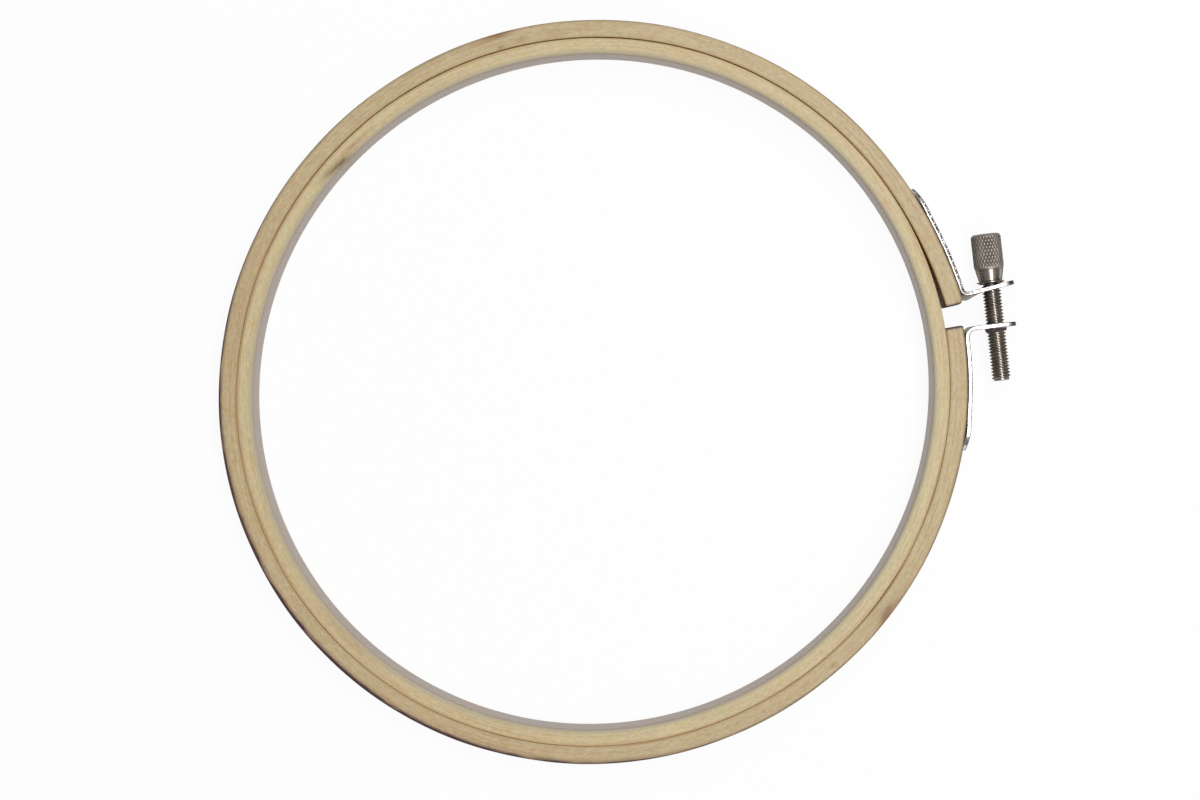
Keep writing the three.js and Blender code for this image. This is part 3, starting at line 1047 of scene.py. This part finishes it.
@dataclass
class Tack:
    """Countersunk tack that holds a strap to the wood, flush with the strap."""

    spindle: Spindle
    name: str
    body: Body
    node: str
    head: float = 2.8
    head_depth: float = 0.6
    shank: float = 1.2
    length: float = 4.0
    point: float = 0.8
    crown: float = 0.1
    crown_steps: int = 7
    rim_across: float = 0.04
    rim_down: float = 0.06
    clearance: float = 0.06
    hole_depth: float = 2.0
    hole_rise: float = 1.0
    sides: int = 48

    def build(self, centre: Array, finish: bpy.types.Material) -> None:
        """Makes and dresses the tack.

        Its profile climbs from the point over the shank and the cone to a slightly
        crowned head.

        Args:
            centre: The hoop's centre in the row frame, in millimetres.
            finish: The metal's material.
        """
        radius = self.head / 2
        share = np.linspace(1.0, 0.0, self.crown_steps)
        across = radius * share - self.rim_across * (share == 1)
        stem = [
            [0.0, -self.length],
            [self.shank / 2, -self.length + self.point],
            [self.shank / 2, -self.head_depth],
            [radius, -self.rim_down],
        ]
        profile = np.concatenate([stem, np.stack([across, self.crown * (1 - share**2)], axis=-1)])
        piece = make_piece(self.name, [self.spindle.turned(profile, self.sides)], centre)
        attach(piece, self.body.value)
        dress(piece, finish, [self.node])

    def cutter(self, centre: Array) -> bpy.types.Object:
        """The countersunk hole for the tack as a solid.

        Args:
            centre: The hoop's centre in the row frame, in millimetres.

        Returns:
            The solid.
        """
        head, shank = self.head / 2 + self.clearance, self.shank / 2 + self.clearance
        profile = [
            [0.0, -self.hole_depth],
            [shank, -self.hole_depth],
            [shank, -self.head_depth],
            [head, 0.0],
            [head, self.hole_rise],
            [0.0, self.hole_rise],
        ]
        return make_piece(f"{self.name}_hole", [self.spindle.turned(profile, self.sides)], centre)


@dataclass
class Strap:
    """A flat steel strap, bent into a leg with a round end on the wood and a squarer lug.

    Its outline is drawn flat, as distances along it and heights, and is then bent along
    the strap's middle line. Painted shade runs along the outer side of its rounded edge,
    with a narrower band on the side against the wood.
    """

    plan: HoopPlan
    side: Side
    bend_radius: float
    lug_angle: float
    lug_length: float
    edge_shade_band: float
    skew: float = 0.0
    skew_reach: float = 2.2
    thickness: float = 0.9
    width: float = 8.4
    lug_squareness: float = 5.0
    seat_gap: float = 0.12
    leg_length: float = 24.0
    leg_arch: float = 0.2
    arch_span: float = 8.1
    bend_setback: float = 2.9
    tack_spacing: float = 5.0
    hole_crease: float = 30.0
    edge: float = 0.16
    edge_steps: int = 4
    face_rows: tuple[float, ...] = (1.0, 0.8, 0.6, 0.4, 0.2, 0.1)
    end_steps: int = 28
    station_gap: float = 0.3
    # Painted shade: a dark reflection at the lug's tip, and shade on the collar, over the bend and on the
    # lug's faces
    tip_shade_reach: float = 1.2
    tip_shade_fade: float = 0.25
    bend_shade_before: tuple[float, float] = (1.0, 1.5)
    bend_shade_after: tuple[float, float] = (1.2, 1.6)
    collar_shade: float = 0.9
    collar_clear: float = 0.05
    collar_end: float = 1.5
    bend_shade: float = 0.27
    bend_rim_shade: float = 0.3
    lug_shade: float = 0.4
    edge_shade_run: float = 2.0
    edge_shade_rest: float = 0.4
    wood_shadow_band: float = 0.2
    wood_shadow_weight: float = 0.6
    band_step: float = 0.01
    bend_start: float = field(init=False)
    bend_length: float = field(init=False)

    def __post_init__(self) -> None:
        """Works out where the bend starts and how long it is."""
        setback = np.degrees(self.bend_setback / self.plan.arm_middle)
        self.bend_start = self.plan.end_angle(self.side) - self.side.value * setback
        self.bend_length = abs(np.radians(self.turn)) * self.bend_radius

    @property
    def turn(self) -> float:
        """Angle that the strap turns through in its bend."""
        return self.lug_angle - self.bend_start - self.side.value * 90.0

    @property
    def length(self) -> float:
        """Length of the strap along its middle line."""
        return self.leg_length + self.bend_length + self.lug_length

    @property
    def body(self) -> Body:
        """The arm of the outer ring that the strap moves with."""
        return Body[f"{self.side.name}_ARM"]

    def leg_radius(self, angle: Array) -> Array:
        """Radius of the middle of the leg, which lies along the outer ring.

        Args:
            angle: Angles round the hoop.

        Returns:
            The radius at each angle.
        """
        seat = self.plan.outer_wall + self.seat_gap + self.thickness / 2
        # The lower leg's angles are before the split, where the plan counts on a full turn
        place = angle + 360.0 * (self.side is Side.LOWER)
        return self.plan.outer_inside(place) + seat

    def leg_point(self, along: Array) -> tuple[Array, Array]:
        """Middle of the leg: it follows the ring, and its free end arches off it by a sine squared.

        Args:
            along: Distances from the leg's tip.

        Returns:
            The points and their angles round the hoop.
        """
        start = self.leg_radius(np.array(self.bend_start))
        angle = self.bend_start - self.side.value * np.degrees((self.leg_length - along) / start)
        arch = self.leg_arch * np.sin(np.pi * np.clip(along / self.arch_span, 0.0, 1.0)) ** 2
        return heading(angle) * (self.leg_radius(angle) + arch)[..., None], angle

    def middle(self, along: Array) -> tuple[Array, Array]:
        """Middle line: the leg, then an arc through the bend, then straight along the lug.

        Args:
            along: Distances from the leg's tip.

        Returns:
            The points and the directions of travel in degrees.
        """
        turn_from = self.bend_start + self.side.value * 90.0
        share = np.clip((along - self.leg_length) / self.bend_length, 0.0, 1.0)
        radius = self.leg_radius(np.array(self.bend_start)) + self.bend_radius
        centre = heading(self.bend_start) * radius
        leg, angle = self.leg_point(np.minimum(along, self.leg_length))
        bend_travel = turn_from + self.turn * share
        straight = np.clip(along - self.leg_length - self.bend_length, 0.0, None)
        rest = centre + heading(bend_travel + 90.0) * self.side.value * self.bend_radius
        rest = rest + heading(self.lug_angle) * straight[..., None]
        on_leg = along < self.leg_length
        travel = np.where(on_leg, angle + self.side.value * 90.0, bend_travel)
        return np.where(on_leg[..., None], leg, rest), travel

    def rim(self) -> tuple[Array, Array]:
        """Section of the strap's edge, from the middle of one face round to the other.

        Returns:
            Distances in from the outline, and distances from the strap's middle plane.
        """
        half, radius = self.thickness / 2, self.width / 2
        flat = radius * np.array(self.face_rows)
        round_edge = quarter_round(self.edge, self.edge_steps)
        # Extra rows where the painted shade bands along the rim end
        bands = [half - band for band in (self.wood_shadow_band, self.edge_shade_band)]
        bands = [band + step for band in bands for step in (self.band_step, -self.band_step)]
        inward = np.concatenate([flat, round_edge[:, 1], np.zeros(len(bands))])
        level = np.concatenate([np.full(len(flat), half), half - round_edge[:, 0], bands])
        return np.concatenate([inward, inward[::-1]]), np.concatenate([level, -level[::-1]])

    def outline(self) -> tuple[Array, Array]:
        """Stations round the strap: along one side, round the lug's end, back, and round the leg's.

        Returns:
            Distances of the spine's points from the leg's tip, and the outline's directions
            from them in radians, each as a column.
        """
        radius = self.width / 2
        count = round((self.length - self.width) / self.station_gap)
        spine = np.linspace(radius, self.length - radius, count)
        half_turn = np.linspace(-90.0, 90.0, self.end_steps + 1)[1:-1]
        at_lug, at_leg = (np.full(len(half_turn), place) for place in (spine[-1], spine[0]))
        low, high = (np.full(count, facing) for facing in (-90.0, 90.0))
        spine = np.concatenate([spine, at_lug, spine[::-1], at_leg])
        facing = np.concatenate([low, half_turn, high, half_turn + 180.0])
        return spine[:, None], np.radians(facing)[:, None]

    def shade_marks(self, along: Array, inward: Array, level: Array) -> Array:
        """Painted shade: bands along both faces' rounded rims, and on the bend and the lug.

        Args:
            along: Each point's distance from the leg's tip.
            inward: Distances of the rim's points in from the outline.
            level: Their distances from the strap's middle plane.

        Returns:
            The marks of every point.
        """
        outward = -self.side.value * level
        # Painted shade on the rim: a band on the outer face that fades to a lesser weight past the leg,
        # and a band on the face against the wood
        on_rim = inward < 2 * self.edge
        painted_shade = on_rim * (outward > self.thickness / 2 - self.edge_shade_band)
        wood_shadow = on_rim * (outward < self.wood_shadow_band - self.thickness / 2)
        fade = np.clip((self.leg_length + self.edge_shade_run - along) / self.edge_shade_run, self.edge_shade_rest, 1.0)
        # Painted shade over the bend, and on the lug's faces past it
        early, rise = self.bend_shade_before
        late, fall = self.bend_shade_after
        before = np.clip((along - self.leg_length + early) / rise, 0.0, 1.0)
        after = np.clip((self.leg_length + self.bend_length + late - along) / fall, 0.0, 1.0)
        bend = before * after * np.where(on_rim, self.bend_rim_shade, self.bend_shade)
        past = np.clip((along - self.leg_length) / self.bend_length, 0.0, 1.0)
        ragged = painted_shade * fade + self.wood_shadow_weight * wood_shadow + self.lug_shade * past * ~on_rim
        return np.stack([bend, ragged, 0 * bend], axis=-1)

    def surface(self) -> Surface:
        """The rim's section carried round the outline, and then bent.

        The outline is two straight sides, a half circle about the spine's end in the leg
        and, about its end in the lug, a curve on which the powers of the two offsets add
        up to the half width's power. A point lies its distance from the spine along the
        outline's direction there, and the two faces close on the spine. Where the bend
        runs askew, the lower a point is, the further it swings out, in a bell curve along
        the strap.

        Returns:
            The strap's surface.
        """
        spine, turn = self.outline()
        inward, level = self.rim()
        power = self.lug_squareness
        square = (np.abs(np.cos(turn)) ** power + np.abs(np.sin(turn)) ** power) ** (-1 / power)
        at_lug = (spine == spine.max()) * (np.cos(turn) > 0)
        reach = (self.width / 2 - inward) * np.where(at_lug, square, 1.0)
        along = spine + reach * np.cos(turn)
        height = self.plan.height / 2 + reach * np.sin(turn)
        middle, travel = self.middle(along)
        points = middle + heading(travel + 90.0) * level[:, None]
        points[..., 2] += height
        bell = np.exp(-(((along - self.leg_length - self.bend_length) / self.skew_reach) ** 2))
        low = np.clip((self.plan.height + self.width) / 2 - height, 0.0, self.width) / self.width
        swing = self.side.value * heading(self.lug_angle + 90.0)
        points = points + swing * (self.skew * bell * low)[..., None]
        marks = self.shade_marks(along, inward, level)
        return Surface(points, rows_join=True, columns_join=False, lids=False, marks=marks)

    def tacks(self) -> list[Tack]:
        """The two tacks, either side of the middle of the leg.

        Returns:
            The tacks, the one nearer to the bend first.
        """
        made = []
        prefix = self.side.name.lower()
        for number, share in enumerate((0.5, -0.5), start=1):
            along = np.array(self.leg_length / 2 + share * self.tack_spacing)
            point, angle = self.leg_point(along)
            outward = heading(angle)
            foot = point + outward * self.thickness / 2 + [0.0, 0.0, self.plan.height / 2]
            name, node = f"{prefix}_strap_tack_{number}", f"{prefix}_tack_{number}"
            made.append(Tack(Spindle(foot, outward), name, self.body, node))
        return made

    def paint_shade(self, piece: bpy.types.Object) -> None:
        """Paints a dark reflection on the tip of the lug, and shade on the collar under it.

        Args:
            piece: The strap.
        """
        mesh = piece.data
        places = np.empty(3 * len(mesh.vertices), np.float32)
        mesh.vertices.foreach_get("co", places)
        places = places.reshape(-1, 3) / MM - self.plan.centre
        tip, _ = self.middle(np.array(self.length))
        back = (tip - places) @ heading(self.lug_angle)
        aside = (tip - places) @ heading(self.lug_angle + 90.0)
        spot = mesh.attributes["marks"]
        weight = np.empty(places.size, np.float32)
        spot.data.foreach_get("vector", weight)
        weight = weight.reshape(-1, 3)
        # Painted shade on the collar, and a painted dark reflection that fades back from the lug's tip
        off_lug = np.abs(aside) > self.thickness / 2 + self.collar_clear
        collar = off_lug * (back < self.lug_length - self.collar_end)
        fade = 1 - np.clip((back - self.tip_shade_reach) / self.tip_shade_fade, 0.0, 1.0)
        weight[:, 0] = np.maximum(weight[:, 0], np.maximum(fade, self.collar_shade * collar))
        spot.data.foreach_set("vector", weight.ravel())

    def build(
        self, finish: bpy.types.Material, extra: Sequence[Surface], holes: Sequence[bpy.types.Object]
    ) -> None:
        """Makes and dresses the strap with its tacks.

        Args:
            finish: The metal's material.
            extra: Further surfaces that are one piece with the strap.
            holes: Solids that are taken out of it.
        """
        centre, prefix = self.plan.centre, self.side.name.lower()
        piece = make_piece(f"{prefix}_strap", [self.surface()], centre)
        parts = [make_piece(f"part_{number}", [part], centre) for number, part in enumerate(extra)]
        if parts:
            combine(piece, parts, Merge.JOIN)
        tacks = self.tacks()
        combine(piece, [*holes, *(tack.cutter(centre) for tack in tacks)], Merge.CUT)
        weld(piece.data, self.hole_crease)
        self.paint_shade(piece)
        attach(piece, self.body.value)
        dress(piece, finish, [f"{prefix}_bracket"])
        for tack in tacks:
            tack.build(centre, finish)


# Thumbscrew, washer and the holes that the screw passes


@dataclass
class Thread:
    """A right-handed metric screw thread on a spindle."""

    spindle: Spindle
    crest: float
    pitch: float
    depth: float = 0.4
    half_angle: float = 30.0
    crest_flat: float = 0.0875
    shade_and_grime: float = 0.1
    steps: int = 64

    def surface(self, start: float, end: float, start_radius: float, end_radius: float) -> Surface:
        """The ridge's outline carried along a helix.

        Along the axis the outline repeats once a pitch, as foot, two crest points and foot,
        and it climbs by one pitch in a full turn. Past either end all points fall together
        on a circle, and near the start a 45 degree chamfer cuts the crests down.

        Args:
            start: Height of the lower end.
            end: Height of the upper end.
            start_radius: Radius at the lower end.
            end_radius: Radius at the upper end.

        Returns:
            The closed rod.
        """
        flank = self.depth * np.tan(np.radians(self.half_angle))
        ridge = np.array([0.0, flank, flank + self.crest_flat, 2 * flank + self.crest_flat])
        root = self.crest - self.depth
        tall = np.array([root, self.crest, self.crest, root])
        turns = int(np.ceil((end - start) / self.pitch)) + 2
        base = start - 1.5 * self.pitch + self.pitch * np.arange(turns)
        share = np.linspace(0.0, 1.0, self.steps + 1)[None, :]
        height = (base[:, None] + ridge).reshape(-1, 1) + self.pitch * share
        radius = np.tile(tall, turns)[:, None]
        radius = np.minimum(radius, start_radius + np.clip(height - start, 0.0, None))
        radius = np.where(height <= start, start_radius, radius)
        radius = np.where(height >= end, end_radius, radius)
        points = self.spindle.rings(radius, 2 * np.pi * share, np.clip(height, start, end))
        # Painted shade and grime, heaviest at the thread's root
        deep = self.shade_and_grime * np.clip((self.crest - radius) / self.depth, 0.0, 1.0)
        marks = np.stack([deep, 0 * deep, 0 * deep], axis=-1)
        return Surface(points, columns_join=False, marks=marks)


@dataclass
class Thumbscrew:
    """Screw turned in one piece: threaded shank, polished conical neck and knurled head."""

    spindle: Spindle
    neck_seat: float
    crest: float = 2.0
    pitch: float = 0.7
    shank_length: float = 21.4
    tip_radius: float = 1.45
    neck_radius: float = 2.48
    neck_top_radius: float = 2.98
    neck_length: float = 2.5
    neck_chamfer: tuple[float, float] = (0.12, 0.1)
    neck_lip: tuple[float, float] = (0.15, 0.12)
    overlap: float = 0.3
    head_radius: float = 3.2
    head_length: float = 7.6
    foot_round: float = 0.22
    foot_run: float = 1.2
    top_round: float = 0.85
    top_dish: float = 0.08
    top_steps: int = 10
    dish_steps: int = 6
    knurl_count: int = 27
    knurl_depth: float = 0.16
    knurl_angle: float = 27.0
    knurl_steepness: float = 1.5
    knurl_shade_and_grime: float = 0.85
    steps_per_knurl: int = 10
    row_gap: float = 0.075
    neck_sides: int = 96
    crease: float = 28.0

    def head(self) -> Surface:
        """The knurled head.

        Its radius follows a turned outline that eases in by a square law at the foot and
        has a round at the top. Two families of V grooves wind round it, one to the left
        and one to the right, and what stands between them is a field of diamonds.

        Returns:
            The closed head.
        """
        foot = self.neck_seat + self.neck_length
        top = foot + self.head_length
        rise = np.arange(foot, top - self.top_round, self.row_gap)
        full = self.head_radius - self.foot_round * np.clip(1 - (rise - foot) / self.foot_run, 0, 1) ** 2
        curve = quarter_round(self.top_round, self.top_steps)
        inner = np.linspace(self.head_radius - self.top_round, 0.0, self.dish_steps)[1:]
        below = [[0.0, foot], [self.neck_top_radius - self.overlap, foot]]
        corner = np.stack([self.head_radius - curve[:, 0], top - curve[:, 1]], axis=-1)
        side = np.stack([full, rise], axis=-1)
        dish = np.stack([inner, top - self.top_dish * (1 - inner / self.head_radius)], axis=-1)
        profile = np.concatenate([below, side, corner, dish])
        radius, height = profile[:, :1], profile[:, 1:]
        sides = self.knurl_count * self.steps_per_knurl
        turn = np.linspace(0.0, 2 * np.pi, sides, endpoint=False)[None, :]
        lean = np.tan(np.radians(self.knurl_angle)) / self.head_radius * height
        shape = np.ones((1, 1))
        for hand in (-1.0, 1.0):
            phase = self.knurl_count * (turn + hand * lean) / (2 * np.pi)
            shape = np.minimum(shape, self.knurl_steepness * (1 - np.abs(2 * (phase % 1.0) - 1)))
        cut = self.head_radius - self.knurl_depth * (1 - shape)
        # Painted shade and grime, heaviest in the bottoms of the knurl's grooves
        deep = self.knurl_shade_and_grime * np.clip((radius - cut) / self.knurl_depth, 0.0, 1.0)
        points = self.spindle.rings(np.minimum(radius, cut), turn, height)
        marks = np.stack([deep, 0 * deep, 0 * deep + 1], axis=-1)
        return Surface(points, lids=False, marks=marks)

    def neck(self) -> Surface:
        """The smooth cone between the washer and the head.

        Returns:
            The closed cone, which ends a little inside the head.
        """
        seat, foot = self.neck_seat, self.neck_seat + self.neck_length
        across, up = self.neck_chamfer
        back, down = self.neck_lip
        profile = [
            [0.0, seat],
            [self.neck_radius - across, seat],
            [self.neck_radius, seat + up],
            [self.neck_top_radius, foot - down],
            [self.neck_top_radius - back, foot + up],
            [0.0, foot + up],
        ]
        return self.spindle.turned(profile, self.neck_sides)

    def build(self, centre: Array, finish: bpy.types.Material) -> None:
        """Makes and dresses the screw.

        Args:
            centre: The hoop's centre in the row frame, in millimetres.
            finish: The metal's material.
        """
        thread = Thread(self.spindle, self.crest, self.pitch)
        tip = self.neck_seat - self.shank_length
        root = self.crest - thread.depth
        shank = thread.surface(tip, self.neck_seat + self.overlap, self.tip_radius, root)
        surfaces = [shank, self.neck(), self.head()]
        piece = make_piece("knurled_thumbscrew", surfaces, centre, self.crease)
        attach(piece, Body.THUMBSCREW.value)
        dress(piece, finish, ["thumbscrew"])


@dataclass
class Washer:
    """Dished washer between the neck and the upper lug, which narrows towards the lug."""

    spindle: Spindle
    seat: float
    rim: float
    flare: float
    thickness: float
    bore: float = 2.15
    edge: float = 0.09
    edge_steps: int = 3
    skirt: float = 0.22
    sides: int = 96

    def build(self, centre: Array, finish: bpy.types.Material) -> None:
        """Makes and dresses the washer.

        Its section is a rectangle whose outer side leans in towards the lug and whose
        rims are rounded.

        Args:
            centre: The hoop's centre in the row frame, in millimetres.
            finish: The metal's material.
        """
        curve = quarter_round(self.edge, self.edge_steps)
        top, narrow = self.seat + self.thickness, self.rim - self.flare
        foot = [
            [self.bore, self.seat + self.edge],
            [self.bore + self.edge, self.seat],
            [narrow - self.edge, self.seat],
            [narrow, self.seat + self.edge / 2],
            [self.rim, top - self.skirt],
        ]
        rim = np.stack([self.rim - curve[:, 0], top - curve[:, 1]], axis=-1)
        inside = [[self.bore + self.edge, top], [self.bore, top - self.edge], foot[0]]
        profile = np.concatenate([foot, rim, inside])
        piece = make_piece("neck_washer", [self.spindle.turned(profile, self.sides)], centre)
        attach(piece, Body.WASHER.value)
        dress(piece, finish, ["screw_washer"])


@dataclass
class Clamp:
    """The screw with both straps, which draws the ends of the outer ring together."""

    plan: HoopPlan
    crest: float = 2.0
    pitch: float = 0.7
    tap_clearance: float = 0.06
    tap_turns: int = 4
    hole_clearance: float = 0.4
    hole_chamfer: float = 0.12
    hole_rise: float = 1.0
    collar_height: float = 0.8
    collar_radius: float = 2.34
    collar_taper: float = 0.12
    collar_rim: tuple[float, float] = (0.08, 0.12)
    collar_flare: float = 0.1
    collar_sunk: float = 0.02
    sides: int = 96
    washer_gap: float = 0.06
    washer_thickness: float = 0.56
    washer_rim: float = 2.9
    washer_flare: float = 0.6

    def spindle(self) -> Spindle:
        """The screw's axis as the frame has it, from the middle of the lower lug.

        Returns:
            The axis.
        """
        hinge = frame_joint("screw_turn")
        foot = np.array(hinge["pos_m"]) / MM - self.plan.centre
        return Spindle(foot, np.array(hinge["axis"]))

    def crossing(self, spindle: Spindle, strap: Strap) -> float:
        """Where the screw's axis crosses the middle of a lug.

        Args:
            spindle: The screw's axis.
            strap: The strap with the lug.

        Returns:
            The height on the axis.
        """
        lug = heading(strap.lug_angle)
        start, _ = strap.middle(np.array(strap.leg_length + strap.bend_length))
        apart = start - spindle.foot
        return float(np.cross(apart, lug)[2] / np.cross(spindle.along, lug)[2])

    def collar(self, spindle: Spindle, thickness: float) -> Surface:
        """Tapered collar drawn from the lower lug on the side away from the head.

        Args:
            spindle: The screw's axis.
            thickness: Thickness of the lug.

        Returns:
            The closed collar, which reaches into the lug.
        """
        face = -thickness / 2
        foot = face - self.collar_height
        tip, wide = self.collar_radius - self.collar_taper, self.collar_radius + self.collar_flare
        across, up = self.collar_rim
        profile = [
            [0.0, foot],
            [tip - across, foot],
            [tip, foot + up],
            [self.collar_radius, face - up],
            [wide, face + self.collar_sunk],
            [wide, 0.0],
            [0.0, 0.0],
        ]
        return spindle.turned(profile, self.sides)

    def tap(self, spindle: Spindle) -> bpy.types.Object:
        """The thread in the lower lug as a solid, in step with the screw's own thread.

        Args:
            spindle: The screw's axis.

        Returns:
            The solid.
        """
        thread = Thread(spindle, self.crest + self.tap_clearance, self.pitch)
        reach = self.tap_turns * self.pitch
        root = self.crest - thread.depth + self.tap_clearance
        surface = thread.surface(-reach, reach, root, root)
        return make_piece("tap", [surface], self.plan.centre)

    def drill(self, spindle: Spindle, strap: Strap) -> bpy.types.Object:
        """The plain hole in the upper lug as a solid, with a small chamfer on both faces.

        Args:
            spindle: The screw's axis.
            strap: The upper strap.

        Returns:
            The solid.
        """
        place = spindle.foot + spindle.along * self.crossing(spindle, strap)
        radius, half = self.crest + self.hole_clearance, strap.thickness / 2
        wide, past = radius + self.hole_chamfer, half + self.hole_rise
        profile = [
            [0.0, -past],
            [wide, -past],
            [wide, -half],
            [radius, -half + self.hole_chamfer],
            [radius, half - self.hole_chamfer],
            [wide, half],
            [wide, past],
            [0.0, past],
        ]
        across = Spindle(place, heading(strap.lug_angle + 90.0))
        return make_piece("drill", [across.turned(profile, self.sides)], self.plan.centre)

    def build(self) -> None:
        """Makes the straps, the washer and the thumbscrew."""
        bright, dull = BRIGHT_NICKEL.material(), DULL_NICKEL.material()
        lower = Strap(
            plan=self.plan,
            side=Side.LOWER,
            bend_radius=2.0,
            lug_angle=6.5,
            lug_length=8.85,
            edge_shade_band=0.24,
        )
        upper = Strap(
            plan=self.plan,
            side=Side.UPPER,
            bend_radius=1.3,
            lug_angle=14.5,
            lug_length=10.0,
            edge_shade_band=0.5,
            skew=0.9,
        )
        spindle = self.spindle()
        collar = self.collar(spindle, lower.thickness)
        lower.build(bright, [collar], [self.tap(spindle)])
        upper.build(bright, [], [self.drill(spindle, upper)])
        tilt = np.radians(upper.lug_angle - lower.lug_angle)
        seat = self.crossing(spindle, upper) + upper.thickness / 2 / np.cos(tilt)
        seat += (self.washer_rim - self.washer_flare) * np.tan(abs(tilt)) + self.washer_gap
        washer = Washer(spindle, seat, self.washer_rim, self.washer_flare, self.washer_thickness)
        washer.build(self.plan.centre, dull)
        neck_seat = seat + self.washer_thickness + self.washer_gap
        Thumbscrew(spindle, neck_seat).build(self.plan.centre, dull)


# Studio


def aimed(place: Sequence[float], target: Sequence[float]) -> Matrix:
    """Placement of a camera or lamp, which looks along its own -Z with its Y towards +Y.

    Args:
        place: Where it stands.
        target: What it looks at.

    Returns:
        Its world matrix.
    """
    back = (Vector(place) - Vector(target)).normalized()
    right = Vector((0.0, 1.0, 0.0)).cross(back).normalized()
    turned = Matrix((right, back.cross(right), back)).transposed().to_4x4()
    return Matrix.Translation(place) @ turned


@dataclass(frozen=True)
class Softbox:
    """A rectangular area lamp that is aimed at the hoop, with its length along Y."""

    name: str
    place: tuple[float, float, float]
    width: float
    length: float
    power: float

    def build(self) -> None:
        """Hangs the lamp."""
        lamp = bpy.data.lights.new(self.name, "AREA")
        lamp.shape = "RECTANGLE"
        lamp.size = self.width
        lamp.size_y = self.length
        lamp.energy = self.power
        new_object(self.name, lamp).matrix_world = aimed(self.place, (0.0, 0.0, 0.0))


@dataclass(frozen=True)
class Studio:
    """White paper floor, soft lamps and the camera of the photograph."""

    floor_size: float = 12.0
    floor_drop: float = 0.00005
    paper: str = "#f4f4f4"
    glow_share: float = 0.94
    daylight: str = "#ffffff"
    horizon: float = 0.1
    zenith: float = 0.34
    camera_place: tuple[float, float, float] = (0.00469, 0.00436, 0.560)
    camera_target: tuple[float, float, float] = (-0.00402, -0.00159, 0.010)
    lens: float = 77.6
    sensor: float = 36.0
    clip: tuple[float, float] = (0.01, 10.0)
    lamps: tuple[Softbox, ...] = (Softbox("key_strip", (0.22, 0.1, 0.92), 0.26, 1.26, 8.0),)

    def floor(self) -> None:
        """Lays the paper. It shows as white to the camera and in metal, and keeps shadows."""
        half = self.floor_size / 2
        corners = [(-half, -half), (half, -half), (half, half), (-half, half)]
        mesh = bpy.data.meshes.new("paper_floor")
        mesh.from_pydata([(x, y, -self.floor_drop) for x, y in corners], [], [(0, 1, 2, 3)])
        floor = new_object("paper_floor", mesh)
        material, tree = new_material("white_paper")
        matt = add(tree, "ShaderNodeBsdfDiffuse", {"Color": linear(self.paper)}).outputs[0]
        glow = add(tree, "ShaderNodeEmission", {"Strength": 1.0}).outputs[0]
        path = add(tree, "ShaderNodeLightPath").outputs
        seen = path["Is Camera Ray"]
        for ray in ("Is Glossy Ray", "Is Transmission Ray"):
            seen = add(tree, "ShaderNodeMath", {0: seen, 1: path[ray]}, operation="MAXIMUM").outputs[0]
        sockets = {0: seen, 1: self.glow_share}
        share = add(tree, "ShaderNodeMath", sockets, operation="MULTIPLY").outputs[0]
        both = add(tree, "ShaderNodeMixShader", {0: share, 1: matt, 2: glow}).outputs[0]
        add(tree, "ShaderNodeOutputMaterial", {"Surface": both})
        mesh.materials.append(material)

    def surroundings(self) -> None:
        """Lights the room evenly, a little brighter overhead."""
        world = bpy.data.worlds.new("white_room")
        world.use_nodes = True
        tree = world.node_tree
        tree.nodes.clear()
        direction = add(tree, "ShaderNodeTexCoord").outputs["Generated"]
        height = add(tree, "ShaderNodeSeparateXYZ", {0: direction}).outputs["Z"]
        sockets = {"Value": height, "To Min": self.horizon, "To Max": self.zenith}
        level = add(tree, "ShaderNodeMapRange", sockets).outputs[0]
        light = {"Color": linear(self.daylight), "Strength": level}
        room = add(tree, "ShaderNodeBackground", light).outputs[0]
        add(tree, "ShaderNodeOutputWorld", {"Surface": room})
        bpy.context.scene.world = world

    def camera(self) -> None:
        """Stands the camera almost straight above the hoop, with +Y up in the picture."""
        lens = bpy.data.cameras.new("camera")
        lens.lens = self.lens
        lens.sensor_width = self.sensor
        lens.clip_start, lens.clip_end = self.clip
        camera = new_object("camera", lens)
        camera.matrix_world = aimed(self.camera_place, self.camera_target)
        bpy.context.scene.camera = camera

    def build(self) -> None:
        """Sets up the floor, the room, the lamps and the camera."""
        bpy.context.scene.view_settings.view_transform = "Standard"
        self.floor()
        self.surroundings()
        for lamp in self.lamps:
            lamp.build()
        self.camera()


def main() -> None:
    """Builds the studio and the hoop's pieces in order."""
    logging.basicConfig(level=logging.INFO, format="%(message)s")
    Studio().build()
    plan = HoopPlan.from_frame()
    InnerRing(plan).build()
    OuterRing(plan).build()
    Clamp(plan).build()


if __name__ == "__main__":
    main()
